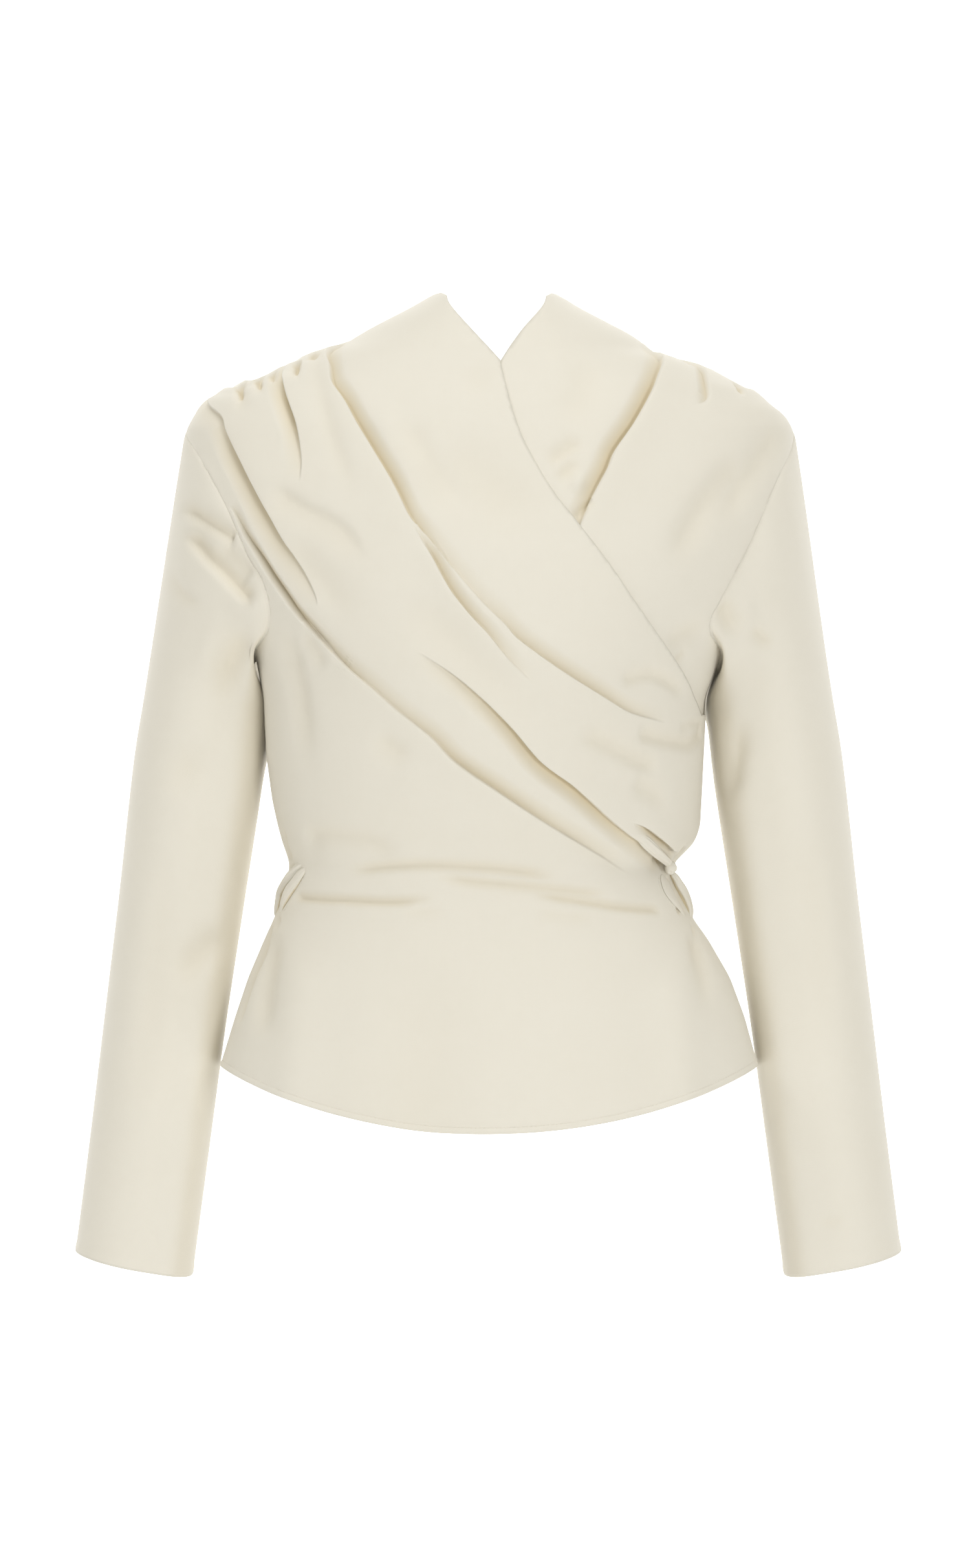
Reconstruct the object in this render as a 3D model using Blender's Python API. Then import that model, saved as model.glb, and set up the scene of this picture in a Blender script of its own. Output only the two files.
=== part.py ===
"""A cross-over wrap top with a grown-on stand-up collar, long sleeves and a peplum.

The top keeps the shape that it has when it is worn. Each cut piece is its own closed solid: the right
front lies over the left front, both are sewn to the back, and the sleeves are set into the armholes.
+Z is up, the wearer faces -Y and +X is the wearer's left. The origin lies between the shoulders.
Sizes are in millimetres, and the finished meshes are in metres.
"""
import math
from collections import namedtuple

import bpy
import numpy as np
from mathutils.geometry import delaunay_2d_cdt

# ---------------------------------------------------------------------------------------------
# Driving sizes
# ---------------------------------------------------------------------------------------------
METRES_PER_MM = 0.001
CLOTH = 1.6             # wall of each cloth piece
SEAM_GAP = 0.3          # clear gap between two pieces at a seam
SHOULDER_TIP = -29      # height where the shoulder seam ends and the armhole begins
UNDERARM = -185         # height of the armhole's lowest point
COLLAR_SEAM_TOP = 60    # the shoulder seam runs up the collar to this height
HEM_SIDE = -460         # height of the hem at the side seams
HEM_FRONT = -501        # and at the front centre
HEM_BACK = -492         # and at the back centre
UNDER_FRONT_END = -314  # plain lower edge of the under front, hidden at the waist
UNDER_LAP = 3.4         # the under front lies this far inside the over front's free edge
UNDER_DEEP = 7.6        # and this much more where the over front covers it
UNDER_EASE = 45         # over this distance on either side of that edge
FRONT_GRID = 16         # spacing of the points that carry a plain stretch of the fronts
BACK_GRID = 19          # and of the back
SEAM_STEP = 11          # spacing of points along a seam
FOLD_STEP = 9           # spacing of points along a pleat
HEM_POINTS = 29         # points along a hem, from one side seam to the other
SLEEVE_COLUMNS = 28     # points round a sleeve, and so round each armhole
SLEEVE_ROWS = 14        # rings along a sleeve below its cap
CAP_ROWS = 5            # rings along the sleeve's cap
CAP_OUT = 0.08          # how strongly all of the cap leaves the armhole sideways
CAP_SPREAD = 1.9        # and how much more its lower part does
CAP_FALL = 0.45         # how strongly all of the cap leaves it downwards
SEAM_CALM = 12.0        # folds die away over this distance from a seam
LIP_ROW = 1.6           # points run along each pleat at this distance from its edge
POINTS_APART = 0.6      # two border points closer than this are one
BEYOND_SIDE = 250       # a place this far out falls on the side seam
MITRE_LIMIT = 0.45      # keeps the mitred edge of an armhole from growing long where it is sharp

# Horizontal sections of the body: distance from the middle line to the left and right sides, how far
# forward and back it reaches, and how far back its widest line lies.
Section = namedtuple("Section", "height left right front back middle")
BODY = (
    Section(-510, 194, 195, 133, 117, -9),
    Section(-460, 182, 183, 123, 109, -8),
    Section(-427, 172, 174, 115, 103, -7),
    Section(-400, 163, 164, 108, 98, -6),
    Section(-374, 152, 149, 101, 92, -5),
    Section(-361, 146, 139.5, 98, 89, -5),
    Section(-348, 141, 133.5, 96, 87, -4),
    Section(-334, 137, 128, 94, 85, -4),
    Section(-324, 135, 125, 94, 85, -3),
    Section(-317, 137, 132, 95, 86, -3),
    Section(-309, 140, 140, 97, 88, -3),
    Section(-298, 143, 144, 101, 91, -2),
    Section(-280, 147, 145, 105, 94, -1),
    Section(-250, 151, 146.5, 112, 98, 0),
    Section(-210, 153, 148.5, 118, 102, 1),
    Section(-185, 158, 157, 119, 104, 2),
    Section(-167, 165, 165, 118, 104, 3),
    Section(-141, 177, 178, 115, 104, 4),
    Section(-114, 190, 192, 110, 103, 5),
    Section(-90, 199, 202, 104, 101, 6),
    Section(-60, 205, 208, 96, 98, 7),
    Section(-28, 206, 208, 86, 92, 8),
    Section(-14, 199, 200, 81, 89, 8),
    Section(-7, 191, 191, 78, 87, 8),
    Section(0, 178, 183, 75, 85, 8),
    Section(14, 145, 149, 69, 81, 8),
    Section(21, 128, 129, 66, 79, 8),
    Section(24, 117, 113, 65, 78, 8),
    Section(28, 105, 110, 64, 78, 8),
    Section(35, 90, 101, 60, 75, 8),
    Section(42, 78, 87, 57, 72, 8),
    Section(56, 51, 60, 52, 68, 8),
    Section(64, 38, 48, 49, 66, 8),
    Section(72, 26, 36, 46, 64, 8),
)
SMOOTHING = 13          # the sections are blended over this height
ANGLES = np.radians(np.arange(-90.0, 91.0, 1.0))

# Edges of the panels, as places on the front or the back: across from the middle line, and height.
OVER_EDGE = ((145, -222), (137, -204), (119, -176), (101, -151), (81, -122), (58, -92), (46, -77),
             (34, -58), (23, -37), (16, -17), (10, 7), (8, 16), (-11, 37), (-28, 59))
UNDER_EDGE = ((-118, UNDER_FRONT_END), (-122, -250), (-112, -190), (-98, -150), (-74, -115),
              (-49, -74), (-23, -33), (-4, 0), (8, 16), (22.5, 37), (39, 59))
NECK_POINTS = 3         # of the points in either edge above, the last ones run up the collar
RIGHT_PEAK = ((-28, 61), (-32, 63.6), (-36.5, 63))      # the collar's rounded corner, inner side first
LEFT_PEAK = ((39, 61), (43, 63.6), (46.5, 63))
BACK_NECK = ((43, 61), (43, 40), (36, 23), (20, 14), (6, 12), (-8, 14), (-24, 23), (-31, 42),
             (-30, 61))
RIGHT_ARMHOLE_FRONT = ((-200, -42), (-189, -60), (-173, -91), (-162, -116), (-151, -136), (-149, -165))
LEFT_ARMHOLE_FRONT = ((205, -45), (198, -60), (187, -85), (174, -114), (161, -138), (150, -165))
RIGHT_ARMHOLE_BACK = ((-199, -42), (-189, -62), (-176, -91), (-166, -116), (-156, -140), (-151, -168))
LEFT_ARMHOLE_BACK = ((201, -42), (191, -62), (178, -91), (168, -116), (158, -140), (152, -168))

# A pleat is a step in the cloth. Cloth on the lapping side stands up by rise and dies away over the
# distance broad, and the other side lies low by drop and comes up over the distance narrow. Lap is +1
# where the lapping side is on the left of the route's direction, and -1 where it is on the right.
# It fades in over start and out over end.
Pleat = namedtuple("Pleat", "name lap rise drop broad narrow start end route")
RIGHT_FRONT_PLEATS = (
    Pleat("deep pocket from the armhole to the knot", 1, 6, 7, 24, 12, 25, 40,
          ((-170, -89), (-143, -136), (-109, -179), (-62, -220), (7, -275), (64, -311), (93, -329))),
    Pleat("shoulder pleat nearest the armhole", 1, 3.5, 4, 22, 14, 0, 50,
          ((-187, -6), (-170, -45), (-146, -88), (-124, -125), (-114, -150))),
    Pleat("short middle shoulder pleat", 1, 2.5, 3.5, 20, 12, 0, 40,
          ((-140, 9), (-132, -18), (-125, -43), (-127, -76))),
    Pleat("shoulder pleat over the collar", -1, 5, 4, 20, 13, 0, 40,
          ((-107, 25), (-105, -1), (-87, -29), (-51, -92), (-25, -125), (21, -174), (78, -212),
           (112, -226))),
    Pleat("branch of the pleat over the collar", -1, 2.5, 3.5, 16, 14, 20, 45,
          ((-50, -96), (-30, -131), (0, -168), (30, -203))),
    Pleat("edge that runs into the knot", 1, 5, 5, 22, 12, 35, 6,
          ((-47, -181), (-5, -211), (35, -254), (81, -297), (117, -321))),
    Pleat("fold above the tie", 1, 4, 4, 16, 8, 12, 4, ((92, -294), (110, -303), (126, -316))),
)
LEFT_FRONT_PLEATS = (
    Pleat("shoulder pleat over the collar", 1, 5, 5, 20, 13, 0, 25,
          ((118, 18), (110, -5), (85, -46), (70, -77), (58, -102))),
    Pleat("crescent pleat on the shoulder", 1, 2.5, 3, 14, 9, 0, 12,
          ((146, 11), (148, -9), (141, -15))),
)

# A wave is a soft ridge, or a soft trough where its height is negative.
Wave = namedtuple("Wave", "name height width start end route")
RIGHT_FRONT_WAVES = (
    Wave("valley beside the collar", -4, 22, 30, 40, ((-39, -41), (0, -72), (35, -108))),
    Wave("broad valley under the shoulder", -3.5, 20, 30, 30, ((-146, -70), (-99, -98), (-80, -125))),
    Wave("trough down the side", -3, 13, 40, 50, ((-137, -159), (-129, -199), (-119, -268))),
    Wave("trough under the deep pocket", -2.5, 12, 20, 25, ((-79, -236), (-50, -254))),
    Wave("upper trough over the bust", -2.5, 13, 20, 20, ((58, -240), (90, -247), (125, -247))),
    Wave("lower trough over the bust", -2.5, 13, 20, 20, ((85, -262), (102, -271), (122, -283))),
    Wave("blouse over the waist at the left", 3, 14, 20, 30, ((-120, -312), (-80, -316), (-30, -318))),
    Wave("upper waist crease", -3.5, 6, 25, 25, ((-97, -328), (-54, -324), (-11, -325), (50, -332))),
    Wave("middle waist crease", -3, 5, 25, 25, ((-39, -330), (-11, -334), (25, -337), (83, -343))),
    Wave("lower waist crease, right", -4, 6, 8, 30, ((-130, -346), (-97, -347), (-61, -348), (-32, -344))),
    Wave("lower waist crease, left", -3.5, 6, 30, 12, ((25, -342), (54, -346), (90, -352), (118, -354))),
    Wave("flare at the right of the peplum", 4, 20, 40, 0, ((-120, -372), (-127, -420), (-133, -490))),
    Wave("trough at the right of the peplum", -5, 16, 25, 30, ((-143, -366), (-149, -400), (-153, -445))),
    Wave("trough at the left of the peplum", -4, 12, 20, 60, ((138, -366), (143, -387), (147, -430))),
    Wave("flare at the left of the peplum", 4, 17, 30, 0, ((120, -385), (128, -430), (132, -490))),
    Wave("trough at the middle of the peplum", -3, 30, 50, 0, ((-40, -380), (-45, -440), (-48, -500))),
)
LEFT_FRONT_WAVES = (
    Wave("upper crumple in the collar", -3, 10, 15, 15, ((37, -56), (50, -47), (64, -36))),
    Wave("lower crumple in the collar", -3, 9, 15, 15, ((44, -68), (54, -58), (61, -50))),
    Wave("roll between the crumples", 3, 9, 12, 12, ((50, -72), (58, -68), (66, -62))),
    Wave("long trough beside the armhole", -3, 15, 25, 30, ((198, -28), (177, -62), (153, -102))),
    Wave("trough below the shoulder", -3, 16, 25, 30, ((177, -51), (156, -67), (136, -97), (122, -127))),
)
BACK_WAVES = (
    Wave("drag from the left shoulder", -3.5, 18, 30, 45, ((110, -20), (84, -90), (40, -160))),
    Wave("drag from the right shoulder", -3.5, 18, 30, 45, ((-104, -20), (-86, -88), (-48, -170))),
    Wave("hollow over the left blade", -3, 20, 30, 30, ((134, -140), (112, -190), (80, -230))),
    Wave("hollow over the right blade", -3, 20, 30, 30, ((-136, -138), (-118, -186), (-88, -232))),
    Wave("blouse over the waist", 3.5, 15, 40, 40, ((-110, -304), (-40, -310), (40, -308), (108, -304))),
    Wave("upper waist crease", -4, 6, 25, 30, ((-112, -326), (-60, -330), (-4, -327))),
    Wave("middle waist crease", -4, 6, 30, 25, ((-20, -340), (40, -335), (112, -328))),
    Wave("lower waist crease", -3.5, 6, 30, 30, ((-100, -350), (-40, -354), (24, -352), (92, -346))),
    Wave("right flare of the peplum", 5, 22, 50, 0, ((-88, -376), (-96, -430), (-100, -485))),
    Wave("middle flare of the peplum", 4, 26, 50, 0, ((6, -380), (4, -440), (2, -495))),
    Wave("left flare of the peplum", 5, 22, 50, 0, ((92, -374), (100, -430), (106, -485))),
    Wave("right trough of the peplum", -4, 20, 50, 0, ((-44, -376), (-48, -430), (-50, -490))),
    Wave("left trough of the peplum", -4, 20, 50, 0, ((50, -376), (54, -430), (56, -490))),
)

# Rings of a sleeve, on the wearer's left: centre, half width, half depth, and the slope of the ring.
Ring = namedtuple("Ring", "across back height width depth slope")
SLEEVE = (
    Ring(192.8, 33, -215, 42.3, 54, 8),
    Ring(198.8, 31, -262, 43.6, 51, 8),
    Ring(210, 29, -348, 41.8, 46.5, 8),
    Ring(220.8, 30, -428, 40.6, 43.5, 8),
    Ring(230.8, 26, -508, 40, 41, 9),
    Ring(241.6, 18, -594, 39.7, 38.5, 10.5),
)
CUFF_DIP = 4.5          # the cuff hangs this much lower in front and higher behind
# Soft folds across the front (face -1) or the back (face +1) of the wearer's right sleeve, and of the
# left one, as places seen from the front.
SleeveWave = namedtuple("SleeveWave", "name face height width start end route")
RIGHT_SLEEVE_WAVES = (
    SleeveWave("upper crease of the cap", -1, -3, 5, 12, 8, ((-208, -82), (-190, -92), (-171, -104))),
    SleeveWave("lower crease of the cap", -1, -4, 6, 15, 15, ((-205, -99), (-184, -122), (-158, -148))),
    SleeveWave("hollow below the cap", -1, -4, 12, 25, 35, ((-166, -163), (-174, -192), (-183, -222))),
    SleeveWave("long trough", -1, -2.5, 14, 30, 40, ((-190, -236), (-205, -262), (-214, -289))),
    SleeveWave("trough at the elbow", -1, -2.5, 13, 25, 30, ((-170, -364), (-193, -384), (-215, -410))),
    SleeveWave("back trough below the cap", 1, -4, 12, 25, 35, ((-170, -150), (-184, -185), (-200, -215))),
    SleeveWave("back trough at the elbow", 1, -3.5, 12, 25, 30, ((-180, -330), (-205, -345), (-236, -372))),
)
LEFT_SLEEVE_WAVES = (
    SleeveWave("hollow beside the armhole", -1, -4, 8, 12, 20, ((155, -142), (162, -158), (166, -175))),
    SleeveWave("trough inside the arm", -1, -3.5, 9, 30, 25, ((173, -219), (168, -251), (160, -284))),
    SleeveWave("short crease", -1, -2, 7, 12, 12, ((176, -160), (186, -170), (193, -178))),
    SleeveWave("long trough to the cuff", -1, -2.5, 13, 50, 60, ((182, -446), (200, -497), (211, -526))),
    SleeveWave("back trough below the cap", 1, -4, 12, 25, 35, ((172, -152), (186, -184), (204, -220))),
    SleeveWave("back trough at the elbow", 1, -3.5, 12, 25, 30, ((182, -336), (208, -352), (238, -370))),
)

# Straps of the waist ties, as places on the front: width, thickness, and how much more than the
# clear gap lies between strap and panel.
STRAP_GAP = 1.0
STRAP_SIDES = 8
STRAP_STEP = 5
Strap = namedtuple("Strap", "name width thick lift route")
STRAPS = (
    Strap("tie_right_outer_strand", 4.6, 2.0, 0.3,
          ((-129.5, -325), (-135, -335), (-140.5, -346), (-145, -358))),
    Strap("tie_right_inner_strand", 2.2, 1.6, 0,
          ((-123, -327), (-130, -338), (-134.5, -347), (-137, -354))),
    Strap("tie_left_strap", 5.0, 2.2, 0, ((99, -303), (107, -309), (114, -316))),
    Strap("tie_left_outer_strand", 7.0, 2.4, 0, ((123, -333), (127, -342), (131.5, -352), (136, -362))),
    Strap("tie_left_inner_strand", 2.6, 1.8, 0, ((115, -334), (117.5, -342), (122, -351), (127, -359))),
)
KNOT_PLACE = (121.5, -324.5)
KNOT_SIZE = (4.6, 4.2, 5.2)     # half its size across, in depth and in height
KNOT_LIFT = 6.4                 # of its middle above the panel's plain surface
KNOT_SEGMENTS = 16

IVORY = (0.79, 0.74, 0.62, 1.0)
ROUGHNESS = 0.62


# ---------------------------------------------------------------------------------------------
# The body's surface
# ---------------------------------------------------------------------------------------------
def blended_column(name, heights):
    """One column of the body table at each height, with its corners rounded off."""
    rows = sorted(BODY)
    values = np.interp(heights, [row.height for row in rows], [getattr(row, name) for row in rows])
    weights = np.hanning(SMOOTHING + 2)[1:-1]
    reach = SMOOTHING // 2
    below = 2 * values[0] - values[reach:0:-1]
    above = 2 * values[-1] - values[-2:-reach - 2:-1]
    return np.convolve(np.concatenate([below, values, above]), weights / weights.sum(), "valid")


HEIGHTS = np.arange(float(BODY[0].height), float(BODY[-1].height) + 1.0)
COLUMNS = {name: blended_column(name, HEIGHTS) for name in Section._fields[1:]}


def section(z):
    """Left, right, front, back and middle of the body at height z."""
    return [np.interp(z, HEIGHTS, COLUMNS[name]) for name in Section._fields[1:]]


def surface(face, angle, z):
    """Point on the body's front (face -1) or back (face +1), angle 0 being the middle of that face."""
    left, right, front, back, middle = section(z)
    across = np.sin(angle)
    deep = (front + middle) if face < 0 else (back - middle)
    x = across * np.where(across < 0, left, right)
    return np.stack([x, middle + face * deep * np.cos(angle), z * np.ones_like(x)], axis=-1)


def surface_normal(face, angle, z):
    """Unit normal of the plain surface there, pointing out of the garment."""
    step = 0.01
    around = surface(face, angle + step, z) - surface(face, angle - step, z)
    upward = surface(face, angle, z + 1.0) - surface(face, angle, z - 1.0)
    normal = np.cross(around, upward) * -face
    return normal / np.linalg.norm(normal, axis=-1, keepdims=True)


def girth_table():
    """For both faces, the distance round the body from its middle line, by height and angle."""
    tables = {}
    for face in (-1, 1):
        points = np.stack([surface(face, angle, HEIGHTS) for angle in ANGLES], axis=1)
        steps = np.linalg.norm(np.diff(points, axis=1), axis=2)
        table = np.concatenate([np.zeros((len(HEIGHTS), 1)), np.cumsum(steps, axis=1)], axis=1)
        tables[face] = table - table[:, len(ANGLES) // 2, None]
    return tables


GIRTH = girth_table()


def girth_rows(face, z):
    """The girth table's row at each height z, blended between its two nearest heights."""
    place = np.clip(np.asarray(z, float) - HEIGHTS[0], 0, len(HEIGHTS) - 1.001)
    low = place.astype(int)
    share = (place - low)[:, None]
    return GIRTH[face][low] * (1 - share) + GIRTH[face][low + 1] * share


def roll(face, flat):
    """Angles of points of the flat pattern, whose columns are girth and height."""
    rows = girth_rows(face, flat[:, 1])
    after = np.clip((rows < flat[:, :1]).sum(axis=1), 1, len(ANGLES) - 1)
    index = np.arange(len(flat))
    low, high = rows[index, after - 1], rows[index, after]
    share = np.clip((flat[:, 0] - low) / (high - low), 0, 1)
    return ANGLES[after - 1] + share * (ANGLES[after] - ANGLES[after - 1])


def unroll(face, places):
    """Flat pattern points of places given as distance across and height."""
    places = np.asarray(places, float)
    left, right = section(places[:, 1])[:2]
    angles = np.arcsin(np.clip(places[:, 0] / np.where(places[:, 0] < 0, left, right), -1, 1))
    rows = girth_rows(face, places[:, 1])
    girth = [np.interp(angle, ANGLES, row) for angle, row in zip(angles, rows)]
    return np.stack([girth, places[:, 1]], axis=1)


# ---------------------------------------------------------------------------------------------
# Curves and relief
# ---------------------------------------------------------------------------------------------
def smooth_path(points, step):
    """Points about one step apart on a smooth curve through the given points."""
    points = np.asarray(points, float)
    ends = np.concatenate([[2 * points[0] - points[1]], points, [2 * points[-1] - points[-2]]])
    fine = []
    for p0, p1, p2, p3 in zip(ends, ends[1:], ends[2:], ends[3:]):
        for t in np.linspace(0, 1, 24, endpoint=False):
            fine.append(0.5 * (2 * p1 + (p2 - p0) * t + (2 * p0 - 5 * p1 + 4 * p2 - p3) * t * t
                               + (3 * p1 - p0 - 3 * p2 + p3) * t ** 3))
    fine.append(points[-1])
    return evenly(np.array(fine), step)


def evenly(line, step):
    """The same line with its points about one step apart."""
    length = np.concatenate([[0], np.cumsum(np.linalg.norm(np.diff(line, axis=0), axis=1))])
    marks = np.linspace(0, length[-1], max(2, round(length[-1] / step) + 1))
    return np.stack([np.interp(marks, length, line[:, k]) for k in range(line.shape[1])], axis=1)


def sideways(line):
    """Unit vectors to the left of a flat line's direction."""
    along = np.gradient(line, axis=0)
    along /= np.linalg.norm(along, axis=1, keepdims=True)
    return np.stack([-along[:, 1], along[:, 0]], axis=1)


def from_line(line, points):
    """Signed distance of flat points from a line, left being positive, and the distance along it."""
    start, step = line[:-1], np.diff(line, axis=0)
    size = (step ** 2).sum(axis=1)
    run = np.concatenate([[0], np.cumsum(np.sqrt(size))])
    away = points[:, None] - start
    share = np.clip((away * step).sum(axis=2) / size, 0, 1)
    gap = away - share[..., None] * step
    distance = np.sqrt((gap ** 2).sum(axis=2))
    near = distance.argmin(axis=1)
    index = np.arange(len(points))
    cross = step[near, 0] * away[index, near, 1] - step[near, 1] * away[index, near, 0]
    along = run[near] + share[index, near] * np.sqrt(size[near])
    return np.where(cross < 0, -1, 1) * distance[index, near], along, run[-1]


def ease(value):
    """0 below 0, 1 above 1 and a smooth rise between."""
    value = np.clip(value, 0, 1)
    return value * value * (3 - 2 * value)


def fade(fold, along, length):
    """How much of a fold is left at a distance along it."""
    fade_in = ease(along / fold.start) if fold.start else 1.0
    fade_out = ease((length - along) / fold.end) if fold.end else 1.0
    return fade_in * fade_out


def pleat_height(pleat, face, flat):
    """Height that one pleat gives the flat points."""
    distance, along, length = from_line(smooth_path(unroll(face, pleat.route), FOLD_STEP), flat)
    distance = distance * pleat.lap
    lapping = pleat.rise * np.exp(-(distance / pleat.broad) ** 2)
    low = -pleat.drop * np.exp(-np.abs(distance) / pleat.narrow)
    return fade(pleat, along, length) * np.where(distance > 0, lapping, low)


def wave_height(wave, face, flat):
    """Height that one soft wave gives the flat points."""
    distance, along, length = from_line(smooth_path(unroll(face, wave.route), FOLD_STEP), flat)
    return wave.height * fade(wave, along, length) * np.exp(-(distance / wave.width) ** 2)


# ---------------------------------------------------------------------------------------------
# Armholes, shared by the panels and the sleeves
# ---------------------------------------------------------------------------------------------
def armhole_line(side, face):
    """Flat points from the shoulder's tip down to the underarm, on the front or the back."""
    inner = {(-1, -1): RIGHT_ARMHOLE_FRONT, (1, -1): LEFT_ARMHOLE_FRONT,
             (-1, 1): RIGHT_ARMHOLE_BACK, (1, 1): LEFT_ARMHOLE_BACK}[side, face]
    seam = side * BEYOND_SIDE
    line = smooth_path(unroll(face, ((seam, SHOULDER_TIP), *inner, (seam, UNDERARM))), 1.0)
    return evenly(line, np.linalg.norm(np.diff(line, axis=0), axis=1).sum() / (SLEEVE_COLUMNS // 2))


def sleeve_ring(side, ring):
    """Points of one sleeve ring: shoulder side first, then round the front, the inside and the back."""
    turn = np.linspace(0, 2 * np.pi, SLEEVE_COLUMNS, endpoint=False)
    slope = math.radians(ring.slope)
    outward = np.cos(turn) * ring.width
    x = ring.across + outward * math.cos(slope)
    y = ring.back - np.sin(turn) * ring.depth
    z = ring.height + outward * math.sin(slope)
    return np.stack([side * x, y, z], axis=1)


def armhole_points(side):
    """Armhole points in the order of a sleeve ring, and the body's normals there."""
    front = armhole_line(side, -1)
    back = armhole_line(side, 1)[-2:0:-1]
    places = [(face, roll(face, flat), flat[:, 1]) for face, flat in ((-1, front), (1, back))]
    points = np.concatenate([surface(*place) for place in places])
    return points, np.concatenate([surface_normal(*place) for place in places])


def cap_directions(side):
    """Unit directions in which the sleeve leaves the armhole."""
    points = armhole_points(side)[0]
    first = sleeve_ring(side, SLEEVE[0])
    turn = np.linspace(0, 2 * np.pi, SLEEVE_COLUMNS, endpoint=False)
    lower = (1 - np.cos(turn)) / 2
    across = side * (CAP_OUT + CAP_SPREAD * lower)
    lean = np.stack([across, np.zeros_like(turn), np.full_like(turn, -CAP_FALL)], axis=1)
    direction = (first - points) / np.linalg.norm(first - points, axis=1, keepdims=True) + lean
    return direction / np.linalg.norm(direction, axis=1, keepdims=True)


def mitre(side):
    """Offsets from outer to inner cloth at the armhole, shared by both pieces so that they stay apart."""
    points, body = armhole_points(side)
    around = np.roll(points, -1, axis=0) - np.roll(points, 1, axis=0)
    sleeve = np.cross(cap_directions(side), around) * -side
    sleeve /= np.linalg.norm(sleeve, axis=1, keepdims=True)
    both = body + sleeve
    both /= np.linalg.norm(both, axis=1, keepdims=True)
    share = np.clip((both * body).sum(axis=1), MITRE_LIMIT, 1)
    return both / share[:, None]


# ---------------------------------------------------------------------------------------------
# Cloth solids
# ---------------------------------------------------------------------------------------------
def add_object(name, points, faces):
    """A named mesh object of the given points, in millimetres, and faces."""
    mesh = bpy.data.meshes.new(name)
    mesh.from_pydata((np.asarray(points) * METRES_PER_MM).tolist(), [], faces)
    mesh.validate()
    mesh.shade_smooth()
    mesh.set_sharp_from_angle(angle=math.radians(50))
    made = bpy.data.objects.new(name, mesh)
    bpy.context.scene.collection.objects.link(made)
    material = bpy.data.materials.new(name + "_cloth")
    material.use_nodes = True
    shader = material.node_tree.nodes["Principled BSDF"]
    shader.inputs["Base Color"].default_value = IVORY
    shader.inputs["Roughness"].default_value = ROUGHNESS
    mesh.materials.append(material)
    return made


def point_normals(points, faces):
    """Area-weighted normals of a triangle mesh at its points."""
    corners = points[faces]
    face_normals = np.cross(corners[:, 1] - corners[:, 0], corners[:, 2] - corners[:, 0])
    normals = np.zeros_like(points)
    for corner in range(3):
        np.add.at(normals, faces[:, corner], face_normals)
    return normals / np.linalg.norm(normals, axis=1, keepdims=True)


def open_edges(faces):
    """Directed edges that only one face uses, as pairs of points."""
    edges = {(face[k], face[(k + 1) % len(face)]) for face in faces for k in range(len(face))}
    return [edge for edge in edges if (edge[1], edge[0]) not in edges]


def walled(name, outer, faces, inward):
    """A closed solid of the outer points and faces, and the inner points at the given offsets."""
    count = len(outer)
    inner_faces = [tuple(count + corner for corner in reversed(face)) for face in faces]
    rim = [(b, a, count + a, count + b) for a, b in open_edges(faces)]
    return add_object(name, np.concatenate([outer, outer - inward]), list(faces) + inner_faces + rim)


def fold_rows(pleats, face):
    """Rows of flat points along each pleat: at its foot, on both sides of its edge and up its flank."""
    rows = []
    for pleat in pleats:
        line = smooth_path(unroll(face, pleat.route), FOLD_STEP)
        for offset in (-pleat.narrow * 0.9, -LIP_ROW, LIP_ROW, pleat.broad * 0.6):
            rows.append(line + sideways(line) * offset * pleat.lap)
    return rows


def wave_rows(waves, face):
    """Rows of flat points along the bottom and the flanks of each narrow wave."""
    rows = []
    for wave in waves:
        if wave.width < FRONT_GRID:
            line = smooth_path(unroll(face, wave.route), FOLD_STEP)
            rows += [line + sideways(line) * wave.width * offset for offset in (-1.1, 0, 1.1)]
    return rows


def inside(points, border):
    """Whether each flat point lies inside the closed border."""
    after = np.roll(border, -1, axis=0)
    above = border[:, 1] > points[:, 1:]
    crosses = above != (after[:, 1] > points[:, 1:])
    rise = after[:, 1] - border[:, 1]
    share = (points[:, 1:] - border[:, 1]) / np.where(rise == 0, 1e-9, rise)
    left = points[:, :1] < border[:, 0] + share * (after[:, 0] - border[:, 0])
    return (crosses & left).sum(axis=1) % 2 == 1


def clear_of(points, others, gap):
    """Whether each point is at least a gap from all the others."""
    if not len(others):
        return np.ones(len(points), bool)
    return np.linalg.norm(points[:, None] - np.asarray(others)[None], axis=2).min(axis=1) > gap


def flat_pattern(border, rows, spacing):
    """Triangles over the border's inside, with points along the rows and a grid between them.

    Row points keep clear of the border and of earlier rows, and grid points keep clear of both.
    """
    points = list(border)
    edges = [(k, (k + 1) % len(border)) for k in range(len(border))]
    for row in rows:
        good = inside(row, border) & clear_of(row, border, spacing * 0.22)
        good &= clear_of(row, points[len(border):], spacing * 0.16)
        last = None
        for place, use in zip(row, good):
            if use:
                points.append(place)
                if last is not None:
                    edges.append((last, len(points) - 1))
            last = len(points) - 1 if use else None
    low, high = border.min(axis=0), border.max(axis=0)
    step = spacing * math.sqrt(3) / 2
    grid = [(x + (k % 2) * spacing / 2, y) for k, y in enumerate(np.arange(low[1], high[1], step))
            for x in np.arange(low[0], high[0], spacing)]
    grid = np.array(grid)
    grid = grid[inside(grid, border) & clear_of(grid, points, spacing * 0.62)]
    points = np.concatenate([np.array(points), grid])
    result = delaunay_2d_cdt([tuple(p) for p in points], edges, [tuple(range(len(border)))], 1, 1e-4)
    return np.array([tuple(p) for p in result[0]]), np.array(result[2])


def seam_heights(low, high):
    """Heights of the points along an upright seam."""
    return np.linspace(low, high, max(2, round((high - low) / SEAM_STEP) + 1))


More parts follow.
